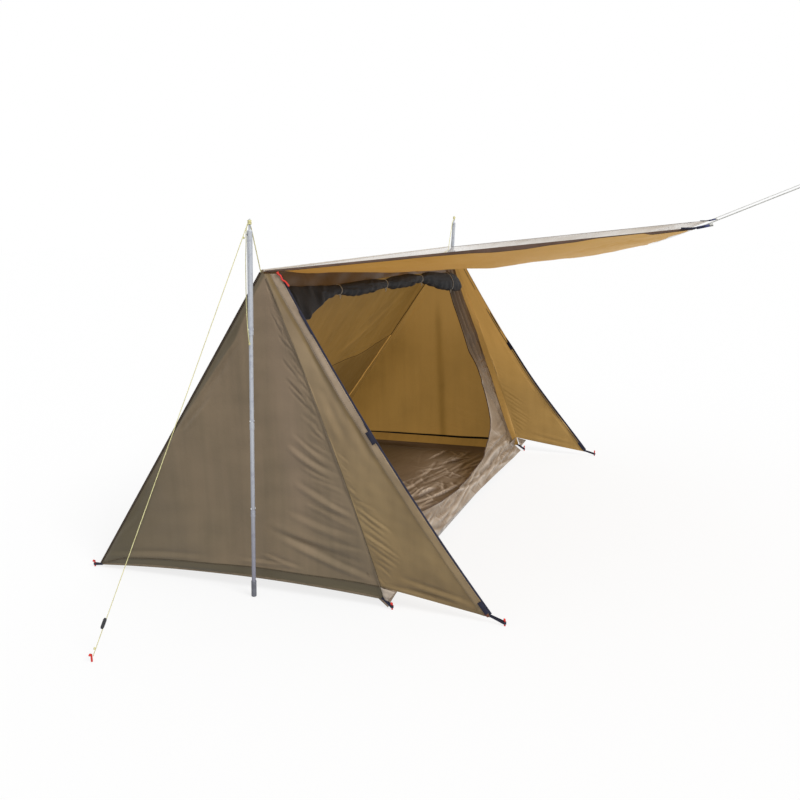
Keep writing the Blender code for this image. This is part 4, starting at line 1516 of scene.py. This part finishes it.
@dataclass
class DoorSurround:
    """The slack cloth round the inner doorway: band, two sides that narrow it, and sill.

    Attributes:
        band_edge: The band's lower edge from left to right, as x and drop in millimetres.
        rim: The doorway's edge in the same way, from the band's right end down and round to its
            left end.
        turns, share: Which points of the rim lie at the lower corners, and the steps between two.
        half, top: Half the whole cloth's width, and the drop of its upper edge.
        rows: The grid's rows from the doorway out.
        counts: The grid's columns along the top, one side and the bottom.
        behind, rim_behind: Drops, and how far the sides' outer edges, and the doorway's edge, lie
            behind the doorway's plane there, in millimetres.
        crest, lift, power: Where the sill's slack foot is highest, how high, and its curve.
    """

    band_edge: Rows = (
        (-975, 94), (-500, 106), (0, 112), (200, 116), (500, 128), (750, 145), (900, 165), (975, 190),
    )
    rim: Rows = (
        (975, 190), (974, 281), (973, 430), (955, 590), (918, 765), (872, 940), (815, 1055),
        (715, 1128), (560, 1182), (379, 1222), (170, 1238), (-52, 1241), (-220, 1233), (-400, 1214),
        (-600, 1185), (-745, 1135), (-835, 1040), (-885, 920), (-925, 765), (-955, 590), (-972, 430),
        (-975, 281), (-975, 94),
    )
    turns: tuple[int, int] = (6, 16)
    share: int = 40
    half: float = 1.1965
    top: float = 0.0063
    rows: int = 56
    counts: tuple[int, int, int] = (170, 110, 270)
    behind: Rows = (
        (0, 4), (200, 16), (300, 19), (580, 19), (740, 25), (865, 25), (1000, 33), (1175, 38),
        (1330, 36), (1381, 6),
    )
    rim_behind: Rows = ((0, 0), (200, 14), (350, 27), (660, 27), (780, 6), (850, 0))
    crest: float = -0.50
    lift: float = 0.053
    power: float = 1.5

    def foot(self, x: Points) -> Points:
        """Drop of the sill's lower edge, a slack arch from corner to corner."""
        share = (x - self.crest) / (np.where(x < self.crest, -1.1977, 1.1977) - self.crest)
        height = 0.005 + self.lift * (1 - share**self.power)
        return (RIDGE_HEIGHT - height) * DOOR_SLOPE / RIDGE_HEIGHT

    def runs(self) -> tuple[Points, Points]:
        """The doorway's edge and the cloth's outer edge, point against point, all the way round."""
        rim = smooth_route(metres(self.rim), self.share * (len(self.rim) - 1) + 1)
        first, second = (turn * self.share for turn in self.turns)
        top, side, foot = self.counts
        x = np.linspace(-self.half, self.half, foot)
        right = np.array([(self.half, self.top), (self.half, float(self.foot(self.half)))])
        sections = (
            (metres(self.band_edge), np.array([(-self.half, self.top), (self.half, self.top)]), top),
            (rim[: first + 1], right, side),
            (rim[first : second + 1], np.stack([x, self.foot(x)], axis=-1)[::-1], foot),
            (rim[second:], right[::-1] * (-1, 1), side),
        )
        inner = [respaced(near, count)[:-1] for near, _, count in sections]
        outer = [respaced(far, count)[:-1] for _, far, count in sections]
        return np.vstack(inner), np.vstack(outer)

    def crushed(self, x: Points, drop: Points) -> Points:
        """Height of the creases in the trodden sill, most of them along it."""
        soft = (crumples(x * 0.45 + drop * 0.25, drop * 1.9 - x * 0.15, 0.13, 82, 3, 2.2) - 0.25) * 0.008
        long = Crush((-1.15, 0.95, 1.14, 1.36), 2, 7, (0.005, 0.010), (0.15, 0.55), 70, 84)
        cross = Crush((-1.10, 1.10, 1.12, 1.30), 60, 30, (0.004, 0.007), (0.05, 0.12), 50, 85)
        return soft + long.height(x, drop) + cross.height(x, drop)

    def sill_folds(self) -> list[Fold]:
        """The long folds that leave the lower corners along the sill and up the sides."""
        folds = []
        for k in range(7):
            for turn, reach in ((1, 0.95), (-1, 0.80)):
                start = (turn * (1.13 - 0.02 * k), 1.205 + 0.030 * k)
                end = (turn * (1.13 - reach + 0.09 * (k % 3)), 1.225 + 0.020 * k)
                folds.append(Fold(start, end, 0.0105 + 0.002 * (k % 3), 0.0085, 0.012 * turn, 0.9))
        for turn in SIDES:
            for k in range(4):
                start = (turn * (1.175 - 0.012 * k), 1.300 - 0.03 * k)
                end = (turn * (1.02 - 0.045 * k), 0.90 - 0.03 * k)
                folds.append(Fold(start, end, 0.013, 0.009, 0.014 * turn, 0.8))
        return folds

    def relief(self, x: Points, drop: Points) -> Points:
        """The slack cloth's folds: lengthwise on the sides, and long ones along the sill."""
        side = np.abs(x)
        free = ease(np.minimum(RIDGE_HALF - side, np.minimum(drop - 0.006, self.foot(x) - drop)), 0.0, 0.022)
        wander = ripples(0 * x, drop, 0.42, 81, 4)
        lengthwise = np.sin(TURN * (side / 0.072 + 0.42 * wander)) * 0.0085
        lengthwise = lengthwise + np.sin(TURN * (side / 0.034 - 0.6 * wander)) * 0.0026
        total = lengthwise * ease(side, 0.97, 1.02) * ease(-drop, -1.18, -0.96)
        total = total + (self.crushed(x, drop) + 0.001) * ease(drop, 0.95, 1.16)
        total = total + raised(self.sill_folds(), x, drop)
        band = ease(-drop, -0.13, -0.10)
        rolled = ripples(x, drop * 2.0, 0.22, 83) * 0.003
        outwards = ease(side, 0.97, 1.19)
        sewn = np.interp(drop, *metres(self.behind).T) * outwards
        sewn = sewn + np.interp(drop, *metres(self.rim_behind).T) * (1 - outwards) * ease(side, 0.90, 0.95)
        return (total * (1 - band) + rolled * band - 0.003) * free - sewn

    def build(self) -> None:
        """Make the cloth and the piping round the doorway."""
        inner, outer = self.runs()
        steps = np.linspace(0, 1, self.rows)[:, None, None]
        flat = inner[None] * (1 - steps) + outer[None] * steps
        x, drop = flat[..., 0], flat[..., 1]
        relief = self.relief(x, drop)
        # The band, painted in shade under the awning.
        band = ease(-drop, -0.125, -0.095)
        lower = ease(drop, 1.02, 1.20)
        # Painted shadow line along the sides' outer edges.
        edge = ease(np.abs(x), 1.165, 1.190) * (1 - lower)
        # Painted highlight on the sill's creases.
        crest = np.clip(self.crushed(x, drop) * 150, -1.0, 1.0) * lower
        # Painted shade in the lower corners.
        corner = ease(np.abs(x), 0.93, 1.08) * ease(drop, 1.02, 1.15) * ease(-drop, -1.36, -1.30)
        strip = (1 - lower) * (1 - band)
        # Painted light and shade from the folds' height.
        folded = np.clip((relief + np.interp(drop, *metres(self.behind).T) * 0.8) * 60, -0.6, 0.6)
        rim = (1 - ease(steps[..., 0] + 0 * x, 0.02, 0.10)) * strip
        # Painted light on the sill, painted shade on the side strips, band, edges and corners; the doorway's
        # rim is lighter.
        tint = (0.08 * lower + 0.55 * crest) * (1 - corner) - 0.20 * strip + 0.45 * folded * strip
        tint = tint + 0.5 * rim - 0.48 * band - 0.6 * edge - 0.75 * corner + 0.3 * crest * corner
        cloth = Cloth(door_point(x, drop, relief), (x, drop), tint)
        made = cloth.piece("door_surround_cloth", Look.DOOR, Look.DOOR, DOOR_OUT, closed=True)
        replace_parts(made, "door_band", "door_side_left", "door_side_right", "door_sill")
        self.piping(*inner[self.counts[0] - 1 :].T)

    def piping(self, x: Points, drop: Points) -> None:
        """The dark bound edge of the doorway and the zip on it."""
        path = resample(door_point(x, drop, self.relief(x, drop)), 0.012)
        Skin().tube(path, 0.0019, 8).piece("door_piping", Look.FLAP)
        Skin().tube(path + DOOR_OUT * 0.0026, 0.0009, 6).piece("door_zip", Look.BINDING)


@dataclass
class MeshRoll:
    """The netting door rolled up below the band, slack at its left end, and its ties.

    Attributes:
        tie_radius: The ties' thickness in the model, halved.
        ties: Where they are along the ridge.
        shape: For each station its x, its middle's drop, half its height, its depth as a share of
            its height, and how far it stands out of the doorway's plane, all in thousandths.
    """

    tie_radius: float = 0.0017
    ties: tuple[float, ...] = (-0.62, -0.07, 0.46, 0.87)
    shape: Rows = (
        (-1090, 104, 24, 200, 20), (-1062, 138, 60, 140, 19), (-1021, 152, 71, 120, 18),
        (-962, 146, 60, 120, 14), (-856, 136, 46, 160, 8), (-744, 127, 31, 340, 2),
        (-665, 124, 23, 800, 0), (-620, 126, 21, 1000, 0), (-500, 134, 29, 950, 0),
        (-360, 139.5, 31.5, 950, 0), (-210, 140, 29, 950, 0), (-70, 143, 21, 1000, 0),
        (70, 146, 30, 950, 0), (200, 149.5, 32.5, 950, 0), (340, 151, 31, 950, 0),
        (460, 156, 21, 1000, 0), (600, 166, 38, 750, 2), (720, 189, 49, 620, 8),
        (820, 208, 54, 580, 16), (870, 210, 52, 620, 18), (920, 217, 58, 550, 20),
        (967, 225.5, 55.5, 500, 24), (1010, 238, 43, 500, 28), (1040, 250, 28, 500, 28),
    )

    def rings(self, count: int = 420, sides: int = 56) -> Points:
        """The bundle's cross-sections: round at the ties, loose and folded between them."""
        x, middle, high, deep, stand = np.split(smooth_route(metres(self.shape), count), 5, axis=1)
        turns = circle(sides)[None, :]
        loose = 1 - np.minimum(sum(hump(x, tie, 0.026) for tie in self.ties), 1.0)
        slack = ease(-x, 0.66, 0.80)
        folds = np.sin(turns * 3 + ripples(x, 0 * x, 0.35, 91) * 1.5 + x * 5) * 0.6
        folds = folds + np.sin(turns * 6 - x * 8 + 1.0) * 0.35
        bunch = ripples(np.cos(turns) * 0.05 + x * 0.4, np.sin(turns) * 0.08, 0.055, 92) * 0.4
        scallop = np.maximum(np.sin(turns), 0) * ripples(x, 0 * x, 0.09, 93) * 0.0040
        rough = 0.0024 * (folds + bunch) * (0.35 + 0.65 * loose) * (1 - 0.8 * slack)
        size = high + rough * (1 - 0.6 * slack) + scallop * loose * (1 - slack)
        pleats = (np.sin(x * 45 + np.sin(turns) * 2.0) + ripples(x, turns * 0.02, 0.08, 94)) * 0.0018 * slack
        out = stand + np.cos(turns) * size * deep + pleats
        return door_point(x + 0 * turns, middle + np.sin(turns) * size, out)

    def cap(self, ring: Points, inner: Points) -> list[Points]:
        """Rings that close the bundle's end, from its tip to the last ring.

        Args:
            ring, inner: The last ring, and one a little further in.

        Returns:
            The rings.
        """
        middle = ring.mean(axis=0)
        ahead = middle - inner.mean(axis=0)
        steps = ((0.25, 0.75), (0.60, 0.60), (0.87, 0.28))
        return [middle + (ring - middle) * size + ahead * reach for size, reach in steps]

    def build(self) -> None:
        """Make the bundle and its ties."""
        rings = self.rings()
        first, last = self.cap(rings[0], rings[4]), self.cap(rings[-1], rings[-5])
        bundle = Skin().loft(np.stack([*first, *rings, *last[::-1]]))
        made = bundle.piece("mesh_door_bundle", Look.MESH, smooth=80)
        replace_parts(made, "mesh_door_roll")
        for number, x in enumerate(self.ties, start=1):
            ring = rings[int(np.argmin(np.abs(rings[:, 0, 0] - x)))]
            middle = ring.mean(axis=0)
            tie = Skin().tube(middle + (ring - middle) * 1.04, self.tie_radius, 6, closed=True)
            low = ring[np.argmin(ring[:, 2])] + DOOR_OUT * 0.004
            for lean, reach in ((-0.006, 0.020), (0.007, 0.014)):
                bend = low + DOOR_DOWN * (reach * 0.5) + point(lean * 0.9, 0, 0) + DOOR_OUT * 0.003
                end = low + DOOR_DOWN * reach + point(lean, 0, 0)
                tie.tube(smooth_route((low, bend, end), 8), self.tie_radius, 6)
            tie.tube(low + DOOR_OUT * 0.001 + line(point(-0.004, 0, 0), point(0.004, 0, 0), 5), 0.0034, 8)
            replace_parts(tie.piece(f"roll_tie_cord_{number}", Look.PALE_CORD), f"roll_tie_{number}")


@dataclass
class Groundsheet:
    """The sewn-in floor with its low edges, slack and creased near the sill.

    Attributes:
        floor_half, floor_front, floor_rear: Where the floor ends and its edges rise.
        rim_half, rim_front, rim_rear: Where the edges end.
        rim, front_rim: Height of the edges at the sides and rear, and behind the sill.
        base: Height of the floor.
        columns, rows, edge_rows: The grid on the floor, and its rows in each edge.
        STEPS: Shares of the edges' height that the inner layer's rows lie at.
    """

    floor_half: float = 1.0895
    floor_front: float = -0.4280
    floor_rear: float = 0.795
    rim_half: float = 1.1950
    rim_front: float = -0.4385
    rim_rear: float = 0.8500
    rim: float = 0.057
    front_rim: float = 0.090
    base: float = 0.0022
    columns: int = 211
    rows: int = 131
    edge_rows: int = 8

    STEPS = np.linspace(0.40, 1.0, 7)[:, None]

    def profile(
        self, ends: tuple[float, ...], heights: tuple[float, float], count: int
    ) -> tuple[Points, Points]:
        """Places across the sheet and the height that its edges give there.

        Args:
            ends: First edge's end, the floor's two ends and the last edge's end.
            heights: Height of the first and last edge.
            count: How many places on the floor.

        Returns:
            The places and the heights.
        """
        first = np.linspace(ends[0], ends[1], self.edge_rows, endpoint=False)
        floor = np.linspace(ends[1], ends[2], count)
        last = np.linspace(ends[2], ends[3], self.edge_rows + 1)[1:]
        up = np.linspace(1, 0, self.edge_rows, endpoint=False) * (heights[0] - self.base)
        down = np.linspace(0, 1, self.edge_rows + 1)[1:] * (heights[1] - self.base)
        return np.concatenate([first, floor, last]), np.concatenate([up, 0 * floor, down])

    def build(self) -> None:
        """Make the sheet."""
        across = (-self.rim_half, -self.floor_half, self.floor_half, self.rim_half)
        along = (self.rim_front, self.floor_front, self.floor_rear, self.rim_rear)
        x, side_rise = self.profile(across, (self.rim, self.rim), self.columns)
        y, end_rise = self.profile(along, (self.front_rim, self.rim), self.rows)
        x, y = np.meshgrid(x, y)
        rise = np.maximum(side_rise[None, :], end_rise[:, None])
        edge = ease(rise, 0.0, 0.02)
        free = (1 - edge) * ease(y, -0.428, -0.395) * ease(self.floor_half - np.abs(x), 0.0, 0.05)
        slack = 0.22 + 0.78 * ease(-y, -0.22, 0.12)
        soft = crumples(x * 0.42 + y * 0.25, y * 1.3 - x * 0.1, 0.14, 101, 3, 2.0) * 0.014
        long = Crush((-1.05, 0.85, -0.40, 0.06), -14, 11, (0.007, 0.012), (0.15, 0.50), 95, 102)
        cross = Crush((-1.00, 1.00, -0.38, -0.02), 40, 30, (0.006, 0.009), (0.08, 0.20), 70, 103)
        crests = long.height(x, y) + cross.height(x, y)
        bulge = ripples(x, y, 0.09, 103) * 0.0012 * edge * ease(0.05 - rise, 0.0, 0.02)
        height = self.base + rise + np.maximum(soft + crests, 0.0) * free * slack + bulge
        tray = edge * ease(y, -0.40, -0.36)
        # Painted highlight on the creases' crests, strongest near the sill.
        lit = np.clip(crests * 110, -0.7, 1.0) * (0.10 + 0.90 * slack)
        # Painted light near the sill, painted shade towards the rear and the sides.
        floor = 0.02 + 0.12 * slack - 1.15 * ease(y, -0.05, 0.45) + lit - 0.3 * ease(np.abs(x), 0.9, 1.08)
        cloth = Cloth(np.stack([x, y, height], axis=-1), (x, y), tray * -0.4 + (1 - tray) * floor)
        made = cloth.piece("groundsheet_cloth", Look.FLOOR, Look.FLOOR, UP)
        edges = [f"groundsheet_edge_{word}" for word in ("left", "rear", "right", "front")]
        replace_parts(made, "groundsheet", *edges)
        self.rising_edges()

    def rising_edges(self) -> None:
        """The upper part of the low edges, in the inside walls' painted glow, which stands in for daylight
        through the wall behind.
        """
        rise = self.base + (self.rim - self.base) * self.STEPS
        y = np.linspace(-0.36, self.floor_rear, 90)[None, :]
        x = np.linspace(-self.floor_half, self.floor_half, 120)[None, :]
        out = self.floor_half + (self.rim_half - self.floor_half) * self.STEPS - 0.0035
        back = self.floor_rear + (self.rim_rear - self.floor_rear) * self.STEPS - 0.0035
        for side, word in SIDES.items():
            wavy = out - ripples(y, rise, 0.09, 104 + side) * 0.0010
            self.rising_edge(word, side * wavy, y, y, point(-side, 0, 1))
        self.rising_edge("rear", x, back - ripples(x, rise, 0.09, 106) * 0.0010, x, point(0, -1, 1))

    def rising_edge(self, word: str, x: Points, y: Points, run: Points, inward: Points) -> None:
        """One low edge's upper part.

        Args:
            word: Which edge.
            x, y: Its places.
            run: The place along it, which its weave follows.
            inward: A direction on its inner side.
        """
        rise = self.base + (self.rim - self.base) * self.STEPS
        grid = np.stack(np.broadcast_arrays(x, y, rise + 0.0030), axis=-1)
        cloth = Cloth(grid, (run + 0 * rise, rise + 0 * run), 0 * grid[..., 0])
        cloth.piece(f"floor_edge_{word}", Look.WALL_INSIDE_GLOW, Look.WALL_INSIDE_GLOW, inward)


@dataclass
class Pole:
    """A four-section pole: joints, spring buttons, tip holes and the finish of its model.

    Attributes:
        side: -1 for the left pole and 1 for the right one.
        joints, tip: Height of the joints, and of the holes in the tip.
    """

    side: int
    joints: tuple[float, ...] = (0.355, 0.712, 1.067)
    tip: float = 1.437

    def ring(self, skin: Skin, height: float, length: float) -> None:
        """A collar round the pole at a height."""
        axis = unit(pole_point(self.side, 1.0) - pole_point(self.side, 0.0))
        steps = np.array((-0.5, -0.5, -0.36, 0.36, 0.5, 0.5)) * length
        radii = np.array((0.8, 0.93, 1.0, 1.0, 0.93, 0.8)) * 0.0112
        skin.tube(pole_point(self.side, height) + axis * steps[:, None], radii, 20)

    def build(self) -> None:
        """Make the pole's small pieces and give its sections their finish."""
        word = SIDES[self.side]
        for part, look in (("foot", Look.RUBBER), ("lower", Look.POLE), ("upper", Look.POLE)):
            look.dress(f"{word}_pole_{part}")
        collars, buttons, holes = Skin(), Skin(), Skin()
        for height in self.joints:
            self.ring(collars, height, 0.016)
            self.studs(buttons, height + 0.022, 0.0085 if height < 1.0 else 0.0098)
        self.ring(collars, 0.072, 0.008)
        self.studs(holes, self.tip, 0.0098)
        collars.piece(f"{word}_pole_collars", Look.STEEL)
        buttons.piece(f"{word}_pole_buttons", Look.STEEL)
        holes.piece(f"{word}_pole_holes", Look.BLACK)

    def studs(self, skin: Skin, height: float, radius: float) -> None:
        """A small round stud on each of two sides of the pole, which has this radius there."""
        for turn in SIDES:
            out = point(turn * 0.8, -0.6 * turn, 0)
            reach = radius + np.array((-0.0020, 0.0006, 0.0012))
            path = pole_point(self.side, height) + out * reach[:, None]
            skin.tube(path, np.array((0.0032, 0.0032, 0.0020)), 12)


@dataclass
class Lines:
    """Guy lines, peak cords, the spare tail, and their knots and sliders.

    Attributes:
        tail_radius, tail_route: The spare tail's half thickness and the places it passes.
        slider: The slider's width at even steps along it.
    """

    tail_radius: float = 0.0015
    tail_route: Rows = (
        (-1.2897, -0.0031, 1.4760), (-1.2905, 0.0035, 1.4620), (-1.2915, 0.0067, 1.4440),
        (-1.2914, 0.0087, 1.4100), (-1.2899, 0.0157, 1.3400), (-1.2885, 0.0206, 1.2700),
        (-1.2881, 0.0241, 1.2000), (-1.2897, 0.0246, 1.1300), (-1.2932, 0.0217, 1.0800),
        (-1.2935, 0.0205, 1.0600), (-1.2906, 0.0201, 1.0350),
    )
    slider: tuple[float, ...] = (0.007, 0.012, 0.012, 0.012, 0.012, 0.012, 0.007)

    def tail(self) -> None:
        """The spare end of the left guy line, a free cord."""
        points = smooth_route(self.tail_route, 48)
        curve = bpy.data.curves.new("guy_tail", "CURVE")
        curve.dimensions = "3D"
        curve.bevel_depth = self.tail_radius
        curve.bevel_resolution = 3
        curve.use_fill_caps = True
        spline = curve.splines.new("POLY")
        spline.points.add(len(points) - 1)
        for i, place in enumerate(points):
            spline.points[i].co = (*place, 1.0)
        curve.materials.append(Look.CORD.material())
        made = register(bpy.data.objects.new("guy_tail", curve))
        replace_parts(made, "left_tail_cord")
        self.knot("guy_tail_knot", points[-1], UP)

    def knot(self, name: str, middle: Points, axis: Points, size: float = 0.0022) -> bpy.types.Object:
        """A small knot of the guy lines' cord.

        Args:
            name: The piece's name.
            middle: Where it is.
            axis: The line's direction.
            size: The radius of its turns.

        Returns:
            The piece.
        """
        across = unit(np.cross(axis, point(0.3, 0.8, 0.52)))
        skin = Skin().coil(middle, axis, across, np.cross(axis, across), size, (1.1 * size, 0.62 * size, 10))
        return skin.piece(name, Look.CORD)

    def build(self) -> None:
        """Make the cords' small pieces and give the model's lines their finish."""
        for side, word in SIDES.items():
            Look.CORD.dress(f"{word}_guy_line")
            Look.CORD.dress(f"{word}_peak_cord")
            hitch, anchor = pole_point(side, 1.480), point(side * 1.900, 0.360, 0.018)
            away = unit(anchor - hitch)
            self.knot(f"{word}_pin_hitch", hitch + UP * 0.0007, UP, 0.0050)
            self.knot(f"{word}_guy_knot", hitch + away * 0.060, away)
            path = anchor - away * 0.12 + away * np.linspace(-0.019, 0.019, len(self.slider))[:, None]
            slider = Skin().band(path, unit(np.cross(away, point(0, 1, 0))), self.slider, 0.006)
            slider.piece(f"{word}_guy_slider", Look.BLACK)
            self.knot(f"{word}_guy_lower_knot", anchor - away * 0.030, away)


@dataclass
class Corners:
    """The pegs and the webbing that ties each corner of the cloth to its peg.

    Attributes:
        places: For each corner, its peg's place on the right side and the cloth's corner.
    """

    places: tuple[tuple[str, Colour, Colour], ...] = (
        ("rear", (RIDGE_HALF, 0.922, 0.012), (RIDGE_HALF, 0.893, 0.0145)),
        ("front", (RIDGE_HALF + 0.004, -0.492, 0.012), (RIDGE_HALF, -0.458, 0.0345)),
        ("wing", (RIDGE_HALF + 0.006, -0.938, 0.012), (RIDGE_HALF, -0.8815, 0.0295)),
    )

    def build(self) -> None:
        """Make every corner's webbing and give the pegs their finish."""
        for side, word in SIDES.items():
            for which, peg, corner in self.places:
                mirror = point(side, 1, 1)
                made = self.loop(f"{word}_{which}_webbing", mirror * corner, mirror * peg)
                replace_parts(made, f"{word}_{which}_loop")
                Look.PEG.dress(f"{word}_{which}_peg")
            Look.PEG.dress(f"{word}_guy_peg")

    def loop(self, name: str, tie: Points, peg: Points) -> bpy.types.Object:
        """A strap from the cloth's corner round a peg and back."""
        pull = unit(peg - tie)
        level = unit(pull * (1, 1, 0))
        side = np.cross(UP, level)
        turns = np.radians(np.linspace(-100, 100, 13))[:, None]
        bend = peg + (level * np.cos(turns) + side * np.sin(turns)) * (PEG_RADIUS + 0.0018)
        near = np.stack([tie - pull * 0.012 - side * 0.0015, tie - side * 0.0018])
        far = np.stack([tie + side * 0.0018, tie - pull * 0.012 + side * 0.0015])
        path = resample(np.vstack([near, bend, far]), 0.004)
        out = unit(np.cross(unit(np.gradient(path, axis=0)), UP))
        return Skin().band(path, out, 0.010, 0.0014).piece(name, Look.WEBBING)


@dataclass
class Pulls:
    """The red zip pulls that hang below the wings' upper ends.

    Attributes:
        route: Where a pull's cord passes, as y and height in millimetres.
    """

    route: Rows = ((-70, 1289), (-81, 1281), (-86, 1268), (-99, 1261), (-108, 1250), (-113, 1244))

    def build(self) -> None:
        """Make a pull on each side."""
        for side, word in SIDES.items():
            route = [point(side * 1.206, y, z) for y, z in metres(self.route)]
            pull = Skin().tube(smooth_route(route, 24), 0.0036, 8)
            pull.tube(line(route[0], route[0] + point(0, 0.003, 0.008), 4), 0.0050, 8)
            pull.piece(f"{word}_zip_pull", Look.RED_CORD)


@dataclass
class Studio:
    """The camera, the floor and the light.

    Attributes:
        place, yaw, pitch, roll, lens: Where the camera stands, how it is turned, and its lens.
        sky, ground: Brightness of the light from above and below.
        sun, sun_from, sun_spread: The soft sun's strength, direction and width in degrees.
        floor_half: Half the floor's width.
    """

    place: tuple[float, float, float] = (-4.072134, -1.614854, 1.479492)
    yaw: float = 20.480010
    pitch: float = -11.923694
    roll: float = -1.279107
    lens: float = 38.508
    sky: float = 0.75
    ground: float = 0.30
    sun: float = 2.4
    sun_from: tuple[float, float, float] = (-0.34, -0.68, 0.65)
    sun_spread: float = 24.0
    floor_half: float = 40.0

    def camera(self) -> None:
        """The camera at the photograph's place."""
        yaw, pitch, roll = (math.radians(a) for a in (self.yaw, self.pitch, self.roll))
        ahead = point(math.cos(pitch) * math.cos(yaw), math.cos(pitch) * math.sin(yaw), math.sin(pitch))
        level = point(math.sin(yaw), -math.cos(yaw), 0)
        up = np.cross(level, ahead)
        right = level * math.cos(roll) + up * math.sin(roll)
        top = up * math.cos(roll) - level * math.sin(roll)
        turn = Matrix((Vector(right), Vector(top), Vector(-ahead))).transposed().to_4x4()
        data = bpy.data.cameras.new("camera")
        data.sensor_width = 36.0
        data.lens = self.lens
        camera = bpy.data.objects.new("camera", data)
        camera.matrix_world = Matrix.Translation(self.place) @ turn
        bpy.context.scene.collection.objects.link(camera)
        bpy.context.scene.camera = camera

    def floor(self) -> None:
        """A plain pale floor, bright enough that only a faint shadow shows under the tent."""
        mesh = bpy.data.meshes.new("studio_floor")
        square = ((-1, -1), (1, -1), (1, 1), (-1, 1))
        corners = [(x * self.floor_half, y * self.floor_half, -0.001) for x, y in square]
        mesh.from_pydata(corners, [], [(0, 1, 2, 3)])
        material = NodeSheet("studio_floor").dress(
            Base_Color=(0.16, 0.16, 0.16), Roughness=1.0, Specular_IOR_Level=0.0,
            Emission_Color=(1.0, 1.0, 1.0), Emission_Strength=0.80,
        )
        mesh.materials.append(material)
        floor = bpy.data.objects.new("studio_floor", mesh)
        bpy.context.scene.collection.objects.link(floor)
        floor.visible_diffuse = False

    def light(self) -> None:
        """White light from all round, brighter from above, and a soft sun from the left front."""
        world = bpy.data.worlds.new("studio")
        world.use_nodes = True
        sheet = NodeSheet("", world.node_tree)
        rays = sheet.node("ShaderNodeLightPath", {}, {}).outputs
        seen = (Value(sheet, rays["Is Camera Ray"]) + Value(sheet, rays["Is Glossy Ray"])).at_most(1.0)
        height = sheet.split(sheet.node("ShaderNodeTexCoord", {}, {}).outputs["Generated"])[2]
        light = height.between(-0.25, 0.35) * (self.sky - self.ground) + self.ground
        background = world.node_tree.nodes["Background"]
        sheet.feed(background.inputs["Color"], (1.0, 1.0, 1.0, 1.0))
        sheet.feed(background.inputs["Strength"], seen + (1.0 - seen) * light)
        bpy.context.scene.world = world
        data = bpy.data.lights.new("sun", "SUN")
        data.energy = self.sun
        data.angle = math.radians(self.sun_spread)
        sun = bpy.data.objects.new("sun", data)
        sun.rotation_mode = "QUATERNION"
        sun.rotation_quaternion = Vector(self.sun_from).to_track_quat("Z", "Y")
        bpy.context.scene.collection.objects.link(sun)
        bpy.context.scene.view_settings.view_transform = "Standard"

    def build(self) -> None:
        """Set the stage."""
        self.camera()
        self.floor()
        self.light()


def main() -> None:
    """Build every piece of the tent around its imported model."""
    logging.basicConfig(level=logging.INFO, format="%(name)s %(message)s")
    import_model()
    Studio().build()
    Lines().tail()
    parts = [part(side) for part in (EndWall, Wing, Pole) for side in SIDES]
    parts += [RearPanel(), Ridge(), Awning(), DoorSurround(), MeshRoll(), Groundsheet()]
    parts += [Lines(), Corners(), Pulls()]
    for part in parts:
        part.build()
    bpy.context.view_layer.update()


if __name__ == "__main__":
    main()
